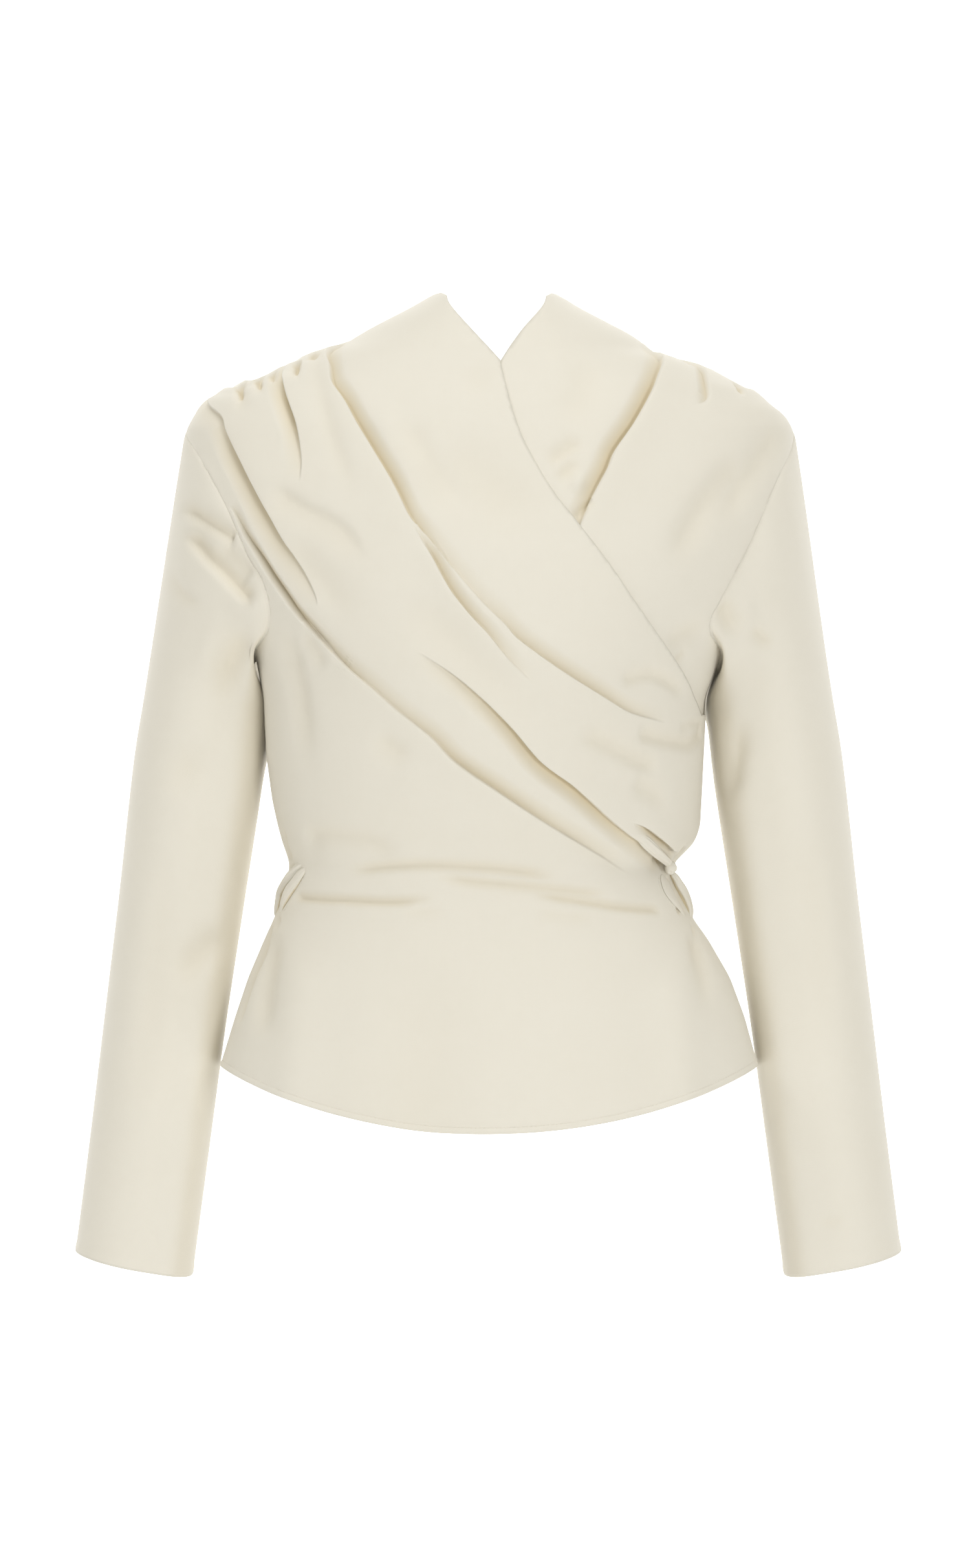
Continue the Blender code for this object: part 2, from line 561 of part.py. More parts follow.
def seam_line(face, side, low, high):
    """Flat points up a side or shoulder seam, half a gap inside it."""
    heights = seam_heights(low, high)
    rows = girth_rows(face, heights)
    edge = rows[:, -1] - SEAM_GAP / 2 if side > 0 else rows[:, 0] + SEAM_GAP / 2
    return np.stack([edge, heights], axis=1)


def hem_line(face, middle_height):
    """Flat points of the hem from the wearer's right to the left, lower in the middle."""
    angles = np.radians(np.linspace(-90, 90, HEM_POINTS))
    heights = HEM_SIDE + (middle_height - HEM_SIDE) * np.cos(angles) ** 2
    rows = girth_rows(face, heights)
    girth = np.array([np.interp(angle, ANGLES, row) for angle, row in zip(angles, rows)])
    girth[0] += SEAM_GAP / 2
    girth[-1] -= SEAM_GAP / 2
    return np.stack([girth, heights], axis=1)


def armhole_border(side, face):
    """The armhole's flat points moved half a gap into the panel, from the shoulder to the underarm."""
    line = armhole_line(side, face)
    line = line - side * sideways(line) * SEAM_GAP / 2
    rows = girth_rows(face, line[:, 1])
    girth = np.clip(line[:, 0], rows[:, 0] + SEAM_GAP / 2, rows[:, -1] - SEAM_GAP / 2)
    return np.stack([girth, line[:, 1]], axis=1)


def joined(*lines):
    """One closed border of several lines, without doubled points."""
    points = []
    for line in lines:
        for place in line:
            if not points or np.linalg.norm(np.asarray(place) - points[-1]) > POINTS_APART:
                points.append(np.asarray(place, float))
    if np.linalg.norm(points[0] - points[-1]) < POINTS_APART:
        points.pop()
    return np.array(points)


def sewn_lines(face):
    """All seams of the body on one face, where the relief is drawn in."""
    lines = []
    for side in (-1, 1):
        lines.append(seam_line(face, side, HEM_SIDE, UNDERARM))
        lines.append(seam_line(face, side, SHOULDER_TIP, COLLAR_SEAM_TOP))
        lines.append(armhole_line(side, face))
    return lines


def relief(face, flat, pleats, waves):
    """Height of all folds at the flat points. It dies away at the seams."""
    height = sum(pleat_height(pleat, face, flat) for pleat in pleats)
    height = height + sum(wave_height(wave, face, flat) for wave in waves)
    seam = np.min([np.abs(from_line(line, flat)[0]) for line in sewn_lines(face)], axis=0)
    return height * ease(seam / SEAM_CALM)


def panel(name, face, border, spacing, pleats, waves, inset=None):
    """One cut piece of the body: flat pattern, folds, wall and mitred armhole edges."""
    rows = fold_rows(pleats, face) + wave_rows(waves, face)
    flat, faces = flat_pattern(border, rows, spacing)
    angles = roll(face, flat)
    plain = surface_normal(face, angles, flat[:, 1])
    height = relief(face, flat, pleats, waves)
    if inset is not None:
        height = height - inset(flat)
    outer = surface(face, angles, flat[:, 1]) + plain * height[:, None]
    if (point_normals(outer, faces) * plain).sum() < 0:
        faces = faces[:, ::-1]
    inward = point_normals(outer, faces)
    edge = np.array(sorted({corner for pair in open_edges(faces.tolist()) for corner in pair}))
    inward[edge] = plain[edge]
    for side in (-1, 1):
        hole = armhole_border(side, face)
        offsets = mitre(side)
        if face > 0:
            offsets = np.roll(offsets[::-1], 1, axis=0)
        away = np.linalg.norm(flat[edge][:, None] - hole[None], axis=2)
        for corner, near, gap in zip(edge, away.argmin(axis=1), away.min(axis=1)):
            if gap < POINTS_APART / 2:
                inward[corner] = offsets[near]
    return walled(name, outer, [tuple(f) for f in faces.tolist()], inward * CLOTH)


def cut_front_right():
    """The over front: collar, pleated shoulder and peplum in one."""
    border = joined(
        hem_line(-1, HEM_FRONT),
        seam_line(-1, 1, HEM_SIDE, OVER_EDGE[0][1])[1:],
        smooth_path(unroll(-1, OVER_EDGE[:1 - NECK_POINTS]), SEAM_STEP),
        smooth_path(unroll(-1, OVER_EDGE[-NECK_POINTS:]), SEAM_STEP),
        unroll(-1, RIGHT_PEAK),
        seam_line(-1, -1, SHOULDER_TIP, COLLAR_SEAM_TOP)[::-1],
        armhole_border(-1, -1),
        seam_line(-1, -1, HEM_SIDE, UNDERARM)[::-1],
    )
    return panel("front_right", -1, border, FRONT_GRID, RIGHT_FRONT_PLEATS, RIGHT_FRONT_WAVES)


def under_inset(flat):
    """How far the under front lies inside the body's surface, so that it clears the over front."""
    side = seam_line(-1, 1, UNDER_FRONT_END - SEAM_STEP, OVER_EDGE[0][1])
    edge = smooth_path(unroll(-1, OVER_EDGE[:1 - NECK_POINTS]), SEAM_STEP)
    covered = from_line(np.concatenate([side[:-1], edge]), flat)[0]
    return UNDER_LAP * ease(1 + covered / UNDER_EASE) + UNDER_DEEP * ease(covered / UNDER_EASE)


def cut_front_left():
    """The under front: the same collar and shoulder, ending plainly at the waist."""
    waist = (UNDER_EDGE[0], (0, UNDER_FRONT_END), (BEYOND_SIDE, UNDER_FRONT_END))
    lower = smooth_path(unroll(-1, waist), SEAM_STEP)
    border = joined(
        lower[:-1],
        seam_line(-1, 1, UNDER_FRONT_END, UNDERARM),
        armhole_border(1, -1)[::-1],
        seam_line(-1, 1, SHOULDER_TIP, COLLAR_SEAM_TOP),
        unroll(-1, LEFT_PEAK)[::-1],
        smooth_path(unroll(-1, UNDER_EDGE[-NECK_POINTS:]), SEAM_STEP)[::-1],
        smooth_path(unroll(-1, UNDER_EDGE[:1 - NECK_POINTS]), SEAM_STEP)[::-1],
    )
    return panel("front_left", -1, border, FRONT_GRID, LEFT_FRONT_PLEATS, LEFT_FRONT_WAVES, under_inset)


def cut_back():
    """The back, cut in one from the neck to the hem."""
    border = joined(
        hem_line(1, HEM_BACK),
        seam_line(1, 1, HEM_SIDE, UNDERARM),
        armhole_border(1, 1)[::-1],
        seam_line(1, 1, SHOULDER_TIP, COLLAR_SEAM_TOP),
        unroll(1, LEFT_PEAK)[::-1],
        smooth_path(unroll(1, BACK_NECK), SEAM_STEP),
        unroll(1, RIGHT_PEAK),
        seam_line(1, -1, SHOULDER_TIP, COLLAR_SEAM_TOP)[::-1],
        armhole_border(-1, 1),
        seam_line(1, -1, HEM_SIDE, UNDERARM)[::-1],
    )
    return panel("back", 1, border, BACK_GRID, (), BACK_WAVES)


def sleeve_rows(side):
    """Rings of a sleeve from the armhole to the cuff."""
    start = armhole_points(side)[0]
    direction = cap_directions(side)
    end = sleeve_ring(side, SLEEVE[0])
    after = sleeve_ring(side, SLEEVE[1]) - end
    after /= np.linalg.norm(after, axis=1, keepdims=True)
    reach = np.linalg.norm(end - start, axis=1, keepdims=True)
    rings = [start + direction * SEAM_GAP]
    for t in np.linspace(0, 1, CAP_ROWS + 1)[1:]:
        rings.append((2 * t ** 3 - 3 * t ** 2 + 1) * start + (t ** 3 - 2 * t ** 2 + t) * reach * direction
                     + (3 * t ** 2 - 2 * t ** 3) * end + (t ** 3 - t ** 2) * reach * after)
    marks = np.array([ring.height for ring in SLEEVE], float)[::-1]
    table = np.array(SLEEVE)[::-1]
    for height in np.linspace(marks[-1], marks[0], SLEEVE_ROWS + 1)[1:]:
        ring = Ring(*[np.interp(height, marks, table[:, k]) for k in range(len(Ring._fields))])
        points = sleeve_ring(side, ring)
        share = ease((marks[-1] - height) / (marks[-1] - marks[0]))
        points[:, 2] += CUFF_DIP * share * (points[:, 1] - ring.back) / ring.depth
        rings.append(points)
    return np.array(rings)


def sleeve(name, side, waves):
    """A sleeve set into the armhole, open at the cuff."""
    rings = sleeve_rows(side)
    count = SLEEVE_COLUMNS
    points = rings.reshape(-1, 3)
    faces = []
    for row in range(len(rings) - 1):
        for k in range(count):
            a, b = row * count + k, row * count + (k + 1) % count
            faces.append((a, a + count, b + count, b) if side > 0 else (a, b, b + count, a + count))
    triangles = np.array([(a, b, c) for a, b, c, d in faces] + [(a, c, d) for a, b, c, d in faces])
    normals = point_normals(points, triangles)
    height = np.zeros(len(points))
    for wave in waves:
        line = smooth_path(wave.route, FOLD_STEP)
        distance, along, length = from_line(line, points[:, [0, 2]])
        facing = ease(normals[:, 1] * wave.face)
        height += wave.height * fade(wave, along, length) * np.exp(-(distance / wave.width) ** 2) * facing
    start = points[:count]
    height *= ease(np.linalg.norm(points[:, None] - start[None], axis=2).min(axis=1) / SEAM_CALM)
    outer = points + normals * height[:, None]
    inward = point_normals(outer, triangles)
    inward[:count] = mitre(side)
    return walled(name, outer, faces, inward * CLOTH)


def strap(strap_row):
    """A flat strap of folded cloth, laid along its route clear of the panel."""
    flat = smooth_path(unroll(-1, strap_row.route), STRAP_STEP)
    angles = roll(-1, flat)
    normal = surface_normal(-1, angles, flat[:, 1])
    beside = sideways(flat) * strap_row.width * 0.6
    folds = [relief(-1, flat + beside * k, RIGHT_FRONT_PLEATS, RIGHT_FRONT_WAVES) for k in (-1, 0, 1)]
    lift = np.max(folds, axis=0) + STRAP_GAP + strap_row.lift + strap_row.thick / 2
    centre = surface(-1, angles, flat[:, 1]) + normal * lift[:, None]
    along = np.gradient(centre, axis=0)
    across = np.cross(normal, along)
    across /= np.linalg.norm(across, axis=1, keepdims=True)
    turn = np.linspace(0, 2 * np.pi, STRAP_SIDES, endpoint=False)
    ring = np.cos(turn)[None, :, None] * across[:, None] * strap_row.width / 2
    ring = ring + np.sin(turn)[None, :, None] * normal[:, None] * strap_row.thick / 2
    points = (centre[:, None] + ring).reshape(-1, 3)
    faces = []
    for row in range(len(centre) - 1):
        for k in range(STRAP_SIDES):
            a, b = row * STRAP_SIDES + k, row * STRAP_SIDES + (k + 1) % STRAP_SIDES
            faces.append((a, b, b + STRAP_SIDES, a + STRAP_SIDES))
    faces.append(tuple(reversed(range(STRAP_SIDES))))
    faces.append(tuple(range(len(points) - STRAP_SIDES, len(points))))
    return add_object(strap_row.name, points, faces)


def knot():
    """The round knot of the left tie."""
    flat = unroll(-1, [KNOT_PLACE])
    angle = roll(-1, flat)
    normal = surface_normal(-1, angle, flat[:, 1])[0]
    centre = surface(-1, angle, flat[:, 1])[0] + normal * KNOT_LIFT
    bpy.ops.mesh.primitive_uv_sphere_add(segments=KNOT_SEGMENTS, ring_count=KNOT_SEGMENTS // 2, radius=1)
    ball = bpy.context.active_object
    points = np.array([tuple(v.co) for v in ball.data.vertices]) * KNOT_SIZE
    faces = [tuple(p.vertices) for p in ball.data.polygons]
    bpy.data.objects.remove(ball)
    return add_object("tie_left_knot", points + centre, faces)


def build():
    """Makes every piece of the top."""
    for old in list(bpy.data.objects):
        bpy.data.objects.remove(old)
    cut_front_right()
    cut_front_left()
    cut_back()
    sleeve("sleeve_right", -1, RIGHT_SLEEVE_WAVES)
    sleeve("sleeve_left", 1, LEFT_SLEEVE_WAVES)
    for row in STRAPS:
        strap(row)
    knot()


build()
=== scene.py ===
"""Looks of a cross-over wrap top: pleated fronts, back, sleeves, stitching and waist ties in ivory cloth.

Sizes are in millimetres on the body, +Z up, the wearer faces -Y and +X is the wearer's left.
"""
import math
from collections import namedtuple

import bpy
import numpy as np
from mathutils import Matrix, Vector
from mathutils.geometry import delaunay_2d_cdt
from mathutils.kdtree import KDTree


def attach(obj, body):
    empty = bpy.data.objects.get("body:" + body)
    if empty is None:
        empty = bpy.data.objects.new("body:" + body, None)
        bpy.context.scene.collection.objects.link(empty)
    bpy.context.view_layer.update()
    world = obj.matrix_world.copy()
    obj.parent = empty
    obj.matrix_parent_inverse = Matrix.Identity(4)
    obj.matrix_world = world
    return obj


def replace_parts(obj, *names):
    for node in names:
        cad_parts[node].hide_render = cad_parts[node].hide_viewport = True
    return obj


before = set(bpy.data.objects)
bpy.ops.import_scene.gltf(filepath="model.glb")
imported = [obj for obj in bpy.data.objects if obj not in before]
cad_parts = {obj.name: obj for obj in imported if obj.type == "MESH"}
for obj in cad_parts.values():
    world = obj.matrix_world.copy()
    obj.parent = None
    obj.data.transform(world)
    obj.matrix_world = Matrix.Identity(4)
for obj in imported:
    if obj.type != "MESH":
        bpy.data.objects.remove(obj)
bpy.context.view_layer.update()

# ---------------------------------------------------------------------------------------------
# Ivory cloth
# Every piece is cut from one plain-woven cotton with a faint sheen. Its yarns lie about 0.35 mm
# apart. Some are a little thicker than others, and the colour is a touch uneven.
# Painted shade darkens and warms the colour in the folds, on the straps' undersides and on the sleeves' sides
# towards the body.
# ---------------------------------------------------------------------------------------------
METRES_PER_MM = 0.001
IVORY = (0.80, 0.770, 0.690, 1.0)
IVORY_SHADE = (0.775, 0.740, 0.648, 1.0)
IVORY_PAINTED_SHADE = (0.69, 0.60, 0.42, 1.0)    # painted shade: the warm colour of the shade inside a fold
YARNS_PER_METRE = 2800.0
SLUB_NARROW = 900.0     # the slubs change this fast across the yarns, for each metre
SLUB_LONG = 45.0        # and this slowly along them
BROAD_SHARE = 0.7       # share of the broad patches in the unevenness
UNEVEN_SHARE = 0.65     # share of the unevenness in the colour, the rest being slubs


def socket(group, name, kind, incoming):
    """Adds a named socket to a node group."""
    return group.interface.new_socket(name=name, in_out="INPUT" if incoming else "OUTPUT",
                                      socket_type="NodeSocket" + kind)


def linked(tree, kind, **inputs):
    """Adds a node and sets or links its inputs, given by their names with _ for a space."""
    node = tree.nodes.new(kind)
    for name, value in inputs.items():
        place = node.inputs[name.replace("_", " ")]
        if isinstance(value, bpy.types.NodeSocket):
            tree.links.new(value, place)
        else:
            place.default_value = value
    return node


def calculated(tree, operation, first, second=0.0):
    """Adds a Math node and returns its result."""
    node = tree.nodes.new("ShaderNodeMath")
    node.operation = operation
    for place, value in zip(node.inputs, (first, second)):
        if isinstance(value, bpy.types.NodeSocket):
            tree.links.new(value, place)
        else:
            place.default_value = value
    return node.outputs[0]


def plain_weave():
    """Group: height of the yarns of a plain weave, and a mask of its thicker yarns."""
    group = bpy.data.node_groups.new("plain_weave", "ShaderNodeTree")
    socket(group, "Place", "Vector", True)
    socket(group, "Yarns per metre", "Float", True)
    socket(group, "Height", "Float", False)
    socket(group, "Slubs", "Float", False)
    start = group.nodes.new("NodeGroupInput")
    place = linked(group, "ShaderNodeSeparateXYZ", Vector=start.outputs["Place"])
    turns = calculated(group, "MULTIPLY", start.outputs["Yarns per metre"], math.pi)
    warp = calculated(group, "SINE", calculated(group, "MULTIPLY", place.outputs["X"], turns))
    weft = calculated(group, "SINE", calculated(group, "MULTIPLY", place.outputs["Y"], turns))
    height = calculated(group, "MULTIPLY_ADD", calculated(group, "MULTIPLY", warp, weft), 0.5)
    height.node.inputs[2].default_value = 0.5
    slubs = []
    for across, along in (("X", "Y"), ("Y", "X")):
        stretched = linked(group, "ShaderNodeCombineXYZ",
                           X=calculated(group, "MULTIPLY", place.outputs[across], SLUB_NARROW),
                           Y=calculated(group, "MULTIPLY", place.outputs[along], SLUB_LONG))
        noise = linked(group, "ShaderNodeTexNoise", Vector=stretched.outputs[0], Scale=1.0, Detail=2.0)
        slubs.append(noise.outputs["Fac"])
    both = calculated(group, "MULTIPLY", calculated(group, "ADD", slubs[0], slubs[1]), 0.5)
    finish = group.nodes.new("NodeGroupOutput")
    group.links.new(height, finish.inputs["Height"])
    group.links.new(both, finish.inputs["Slubs"])
    return group


def unevenness():
    """Group: a soft mask that varies over a few centimetres, for the colour."""
    group = bpy.data.node_groups.new("unevenness", "ShaderNodeTree")
    socket(group, "Place", "Vector", True)
    socket(group, "Mask", "Float", False)
    start = group.nodes.new("NodeGroupInput")
    broad = linked(group, "ShaderNodeTexNoise", Vector=start.outputs["Place"], Scale=22.0, Detail=2.0)
    fine = linked(group, "ShaderNodeTexNoise", Vector=start.outputs["Place"], Scale=160.0, Detail=1.0)
    mixed = calculated(group, "ADD", calculated(group, "MULTIPLY", broad.outputs["Fac"], BROAD_SHARE),
                       calculated(group, "MULTIPLY", fine.outputs["Fac"], 1 - BROAD_SHARE))
    finish = group.nodes.new("NodeGroupOutput")
    group.links.new(mixed, finish.inputs["Mask"])
    return group


WEAVE = plain_weave()
UNEVEN = unevenness()


def ivory_cloth(name, light=IVORY, shade=IVORY_SHADE, weave_depth=0.00006):
    """The woven cotton: colour from its unevenness and slubs, darkened by painted shade from a point
    attribute, bump from its yarns.
    """
    material = bpy.data.materials.new(name)
    material.use_nodes = True
    tree = material.node_tree
    shader = tree.nodes["Principled BSDF"]
    shader.inputs["Roughness"].default_value = 0.62
    shader.inputs["Specular IOR Level"].default_value = 0.32
    shader.inputs["Sheen Weight"].default_value = 0.12
    shader.inputs["Sheen Roughness"].default_value = 0.45
    flat = tree.nodes.new("ShaderNodeUVMap")
    flat.uv_map = "cut"
    space = tree.nodes.new("ShaderNodeTexCoord")
    weave = tree.nodes.new("ShaderNodeGroup")
    weave.node_tree = WEAVE
    weave.inputs["Yarns per metre"].default_value = YARNS_PER_METRE
    tree.links.new(flat.outputs["UV"], weave.inputs["Place"])
    uneven = tree.nodes.new("ShaderNodeGroup")
    uneven.node_tree = UNEVEN
    tree.links.new(space.outputs["Object"], uneven.inputs["Place"])
    blend = calculated(tree, "ADD", calculated(tree, "MULTIPLY", uneven.outputs["Mask"], UNEVEN_SHARE),
                       calculated(tree, "MULTIPLY", weave.outputs["Slubs"], 1 - UNEVEN_SHARE))
    colour = tree.nodes.new("ShaderNodeMix")
    colour.data_type = "RGBA"
    colour.inputs["A"].default_value = light
    colour.inputs["B"].default_value = shade
    tree.links.new(blend, colour.inputs["Factor"])
    # Painted shade: a point attribute mixes the colour towards the warm shade of a fold.
    painted_shade = tree.nodes.new("ShaderNodeAttribute")
    painted_shade.attribute_name = "painted_shade"
    deeper = tree.nodes.new("ShaderNodeMix")
    deeper.data_type = "RGBA"
    deeper.inputs["B"].default_value = IVORY_PAINTED_SHADE
    tree.links.new(painted_shade.outputs["Fac"], deeper.inputs["Factor"])
    tree.links.new(colour.outputs["Result"], deeper.inputs["A"])
    tree.links.new(deeper.outputs["Result"], shader.inputs["Base Color"])
    raised = calculated(tree, "ADD", weave.outputs["Height"], weave.outputs["Slubs"])
    bump = linked(tree, "ShaderNodeBump", Strength=0.5, Distance=weave_depth, Height=raised)
    tree.links.new(bump.outputs["Normal"], shader.inputs["Normal"])
    return material


BODY_CLOTH = ivory_cloth("body_cloth")

# ---------------------------------------------------------------------------------------------
# Right front
# The over front: collar, pleated shoulder and peplum in one piece of cloth. Its pleats are pinned in
# the shoulder seam and drawn together at the left waist, and its edges are turned in.
# ---------------------------------------------------------------------------------------------
CLOTH = 1.0             # shown wall of the cloth with its turned edges
SEAM_GAP = 0.1          # clear gap between two pieces at a seam
SHOULDER_TIP = -29      # height where the shoulder seam ends and the armhole begins
UNDERARM = -185         # height of the armhole's lowest point
COLLAR_SEAM_TOP = 60    # the shoulder seam runs up the collar to this height
HEM_SIDE = -460         # height of the hem at the side seams
HEM_FRONT = -501        # and at the front centre
HEM_BACK = -492         # and at the back centre
STEP = 2.3              # spacing of the points of the fronts
FOLD_STEP = 2.6         # spacing along a fold
CURVE_STEP = 5.0        # spacing of the points of a fold's own curve
SLEEVE_COLUMNS = 168    # points round a sleeve, and so round each armhole
SEAM_CALM = 6.0         # folds die away over this distance from a side seam
ARMHOLE_CALM = 2.2      # over this one from an armhole
SHOULDER_CALM = 1.2     # and over this one from the shoulder seam
HEM_STITCH = 4.3        # the hem's stitches lie this far above its edge
BEYOND_SIDE = 250       # a place this far out falls on the side seam

# Horizontal sections of the body: distance from the middle line to the left and right sides, how far
# forward and back it reaches, and how far back its widest line lies.
Section = namedtuple("Section", "height left right front back middle")
BODY = (
    Section(-510, 194, 195, 133, 117, -9),
    Section(-460, 182, 183, 123, 109, -8),
    Section(-427, 172, 174, 115, 103, -7),
    Section(-400, 163, 164, 108, 98, -6),
    Section(-374, 152, 149, 101, 92, -5),
    Section(-361, 146, 139.5, 98, 89, -5),
    Section(-348, 141, 133.5, 96, 87, -4),
    Section(-334, 137, 128, 94, 85, -4),
    Section(-324, 135, 125, 94, 85, -3),
    Section(-317, 137, 132, 95, 86, -3),
    Section(-309, 140, 140, 97, 88, -3),
    Section(-298, 143, 144, 101, 91, -2),
    Section(-280, 147, 145, 105, 94, -1),
    Section(-250, 151, 146.5, 112, 98, 0),
    Section(-210, 153, 148.5, 118, 102, 1),
    Section(-185, 158, 157, 119, 104, 2),
    Section(-167, 165, 165, 118, 104, 3),
    Section(-141, 177, 178, 115, 104, 4),
    Section(-114, 190, 192, 110, 103, 5),
    Section(-90, 199, 202, 104, 101, 6),
    Section(-60, 205, 208, 96, 98, 7),
    Section(-28, 206, 208, 86, 92, 8),
    Section(-14, 199, 200, 81, 89, 8),
    Section(-7, 191, 191, 78, 87, 8),
    Section(0, 178, 183, 75, 85, 8),
    Section(14, 145, 149, 69, 81, 8),
    Section(21, 128, 129, 66, 79, 8),
    Section(24, 117, 113, 65, 78, 8),
    Section(28, 105, 110, 64, 78, 8),
    Section(35, 90, 101, 60, 75, 8),
    Section(42, 78, 87, 57, 72, 8),
    Section(56, 51, 60, 52, 68, 8),
    Section(64, 38, 48, 49, 66, 8),
    Section(72, 26, 36, 46, 64, 8),
)
SMOOTHING = 13          # the sections are blended over this height
ANGLES = np.radians(np.arange(-90.0, 91.0, 1.0))

# The right front's free edge, as places on the front: across from the middle line, and height. The
# last of its points run up the collar.
OVER_EDGE = ((145, -222), (137, -204), (119, -176), (101, -151), (81, -122), (58, -92), (46, -77),
             (34, -58), (23, -37), (16, -17), (10, 7), (8, 16), (-11, 37), (-28, 59))
NECK_POINTS = 3
RIGHT_PEAK = ((-28, 61), (-32, 63.6), (-36.5, 63))      # the collar's rounded corner, inner side first
RIGHT_ARMHOLE_FRONT = ((-200, -42), (-189, -60), (-173, -91), (-162, -116), (-151, -136), (-149, -165))
LEFT_ARMHOLE_FRONT = ((205, -45), (198, -60), (187, -85), (174, -114), (161, -138), (150, -165))
RIGHT_ARMHOLE_BACK = ((-199, -42), (-189, -62), (-176, -91), (-166, -116), (-156, -140), (-151, -168))
LEFT_ARMHOLE_BACK = ((201, -42), (191, -62), (178, -91), (168, -116), (158, -140), (152, -168))

# The pinned pleats make small steps in the shoulder's outline: how far the cloth stands off there.
Scallop = namedtuple("Scallop", "height lift")
RIGHT_SHOULDER = (Scallop(-29, 0), Scallop(-17, -0.6), Scallop(-8, 0.8), Scallop(-4.8, -0.6),
                  Scallop(-1.3, 1.4), Scallop(0.9, -1.0), Scallop(4.8, 0.6), Scallop(6.6, -1.4),
                  Scallop(10.6, -1.8), Scallop(16.2, 0), Scallop(17.8, -2.0), Scallop(21.8, 0.9),
                  Scallop(27, 0.3), Scallop(29, -0.6), Scallop(38, 0.4), Scallop(60, 0))
LEFT_SHOULDER = (Scallop(-29, 0), Scallop(-20, -0.2), Scallop(-11, -2.2), Scallop(-4, -1.6),
                 Scallop(1.2, -0.9), Scallop(2.4, -2.3), Scallop(6.6, -1.4), Scallop(12.3, 0.5),
                 Scallop(18.9, 0), Scallop(22.3, 0.4), Scallop(23.6, -2.2), Scallop(30, -0.8),
                 Scallop(40, 0), Scallop(60, 0))
SCALLOP_REACH = 16.0

# A pleat is a step in the cloth. Cloth on the lapping side stands up by rise and dies away over the
# distance broad. The other side dips by drop at the lip and comes up over the distance narrow. The lip
# hangs over it by over. Lap is +1 where the lapping side is on the left of the route's direction, and
# -1 where it is on the right. A route's third column is the share of the pleat's depth there.
Pleat = namedtuple("Pleat", "name lap rise broad drop narrow over route")
RIGHT_FRONT_PLEATS = (
    Pleat("deep pocket beside the armhole", -1, 2.0, 5.5, 8, 9, 1.4,
          ((-174.6, -81.5, 0), (-171, -88.6, 0.3), (-164.9, -102.2, 0.6), (-156, -116.8, 0.9),
           (-147.2, -131, 1.0), (-139.3, -142.4, 1.0), (-131.2, -153.7, 0.9), (-120, -166.4, 0.65),
           (-109.9, -177.2, 0.4), (-97.2, -189.8, 0.15), (-84, -201, 0))),
    Pleat("long edge from the pocket to the knot", -1, 1.6, 11, 4.2, 12, 0.6,
          ((-129.6, -152.3, 0), (-119, -165.4, 0.3), (-109.4, -176.7, 0.5), (-97.2, -189.8, 0.6),
           (-78.9, -205, 0.6), (-62, -219.8, 0.6), (-38.7, -238.3, 0.75), (-21.9, -255.5, 1.0),
           (6.9, -275.3, 1.0), (35.4, -293.9, 0.8), (64, -311.2, 0.5), (93.4, -328.8, 0))),
    Pleat("shoulder pleat nearest the armhole", 1, 1.8, 20, 8.0, 17, 0.6,
          ((-187.7, -5.3, 0.25), (-181.4, -19.2, 0.35), (-176.8, -30.5, 0.6), (-171.3, -41.7, 0.9),
           (-165, -54.2, 1.0), (-157.8, -68.4, 1.0), (-150.7, -81.7, 1.0), (-144.5, -93.1, 0.9),
           (-136.5, -107.2, 0.7), (-129.9, -117.7, 0.5), (-123.3, -128.2, 0.35), (-117.2, -140.4, 0.2),
           (-114.1, -149.5, 0))),
    Pleat("short middle shoulder pleat", 1, 1.6, 14, 6.5, 13, 0.5,
          ((-139.2, 10.5, 0.6), (-138.3, 2.1, 0.8), (-135.8, -7.2, 1.0), (-132.6, -16.2, 1.0),
           (-129.4, -25.2, 0.95), (-127.6, -33.1, 0.75), (-126.2, -42.8, 0.45), (-125.3, -53.8, 0.25),
           (-126.5, -66.9, 0))),
    Pleat("shoulder pleat over the collar", -1, 2.4, 20, 5.6, 11, 0.6,
          ((-108.3, 24.8, 0.55), (-107.8, 15.2, 0.7), (-106.2, 3.5, 0.8), (-104.3, -1, 0.85),
           (-96.3, -12.4, 0.95), (-87.9, -28, 1.0), (-68, -61, 1.0), (-60, -76, 0.95),
           (-53, -90.3, 0.8), (-45.2, -99.5, 0.6), (-38.3, -107.3, 0.4), (-23.7, -125.6, 0.3),
           (-4.3, -148.1, 0.3), (11, -163, 0.45), (21, -174, 0.6), (49, -194, 0.65), (78, -212, 0.6),
           (96, -222, 0.4), (119, -228, 0))),
    Pleat("branch of the pleat over the collar", -1, 1.4, 9, 4.6, 9, 0.6,
          ((-50.5, -95, 0), (-46.1, -103.8, 0.25), (-41.8, -111.2, 0.6), (-37.4, -118.6, 1.0),
           (-30.5, -131.6, 1.0), (-23.6, -142.9, 1.0), (-12.5, -156.7, 0.9), (-0.4, -169.6, 0.7),
           (12.5, -185.5, 0.35), (29.7, -202.7, 0))),
    Pleat("edge that runs into the knot", 1, 2.4, 15, 6.5, 13, 1.0,
          ((-47.3, -181.1, 0), (-24.5, -195.4, 0.35), (-4.7, -211.3, 0.65), (15.5, -231, 0.9),
           (35.3, -253.8, 1.0), (58.2, -271, 1.0), (81.3, -291.8, 0.85), (95.4, -303.5, 0.7),
           (106.5, -311, 0.6), (114, -317.5, 0.5))),
    Pleat("fold above the tie", 1, 2.2, 12, 8.0, 7, 1.4,
          ((96.7, -295.3, 0), (102.8, -296.6, 0.35), (107.7, -298.8, 0.75), (113.5, -302.8, 1.0),
           (118.9, -307.2, 1.0), (125, -313, 0.7))),
)

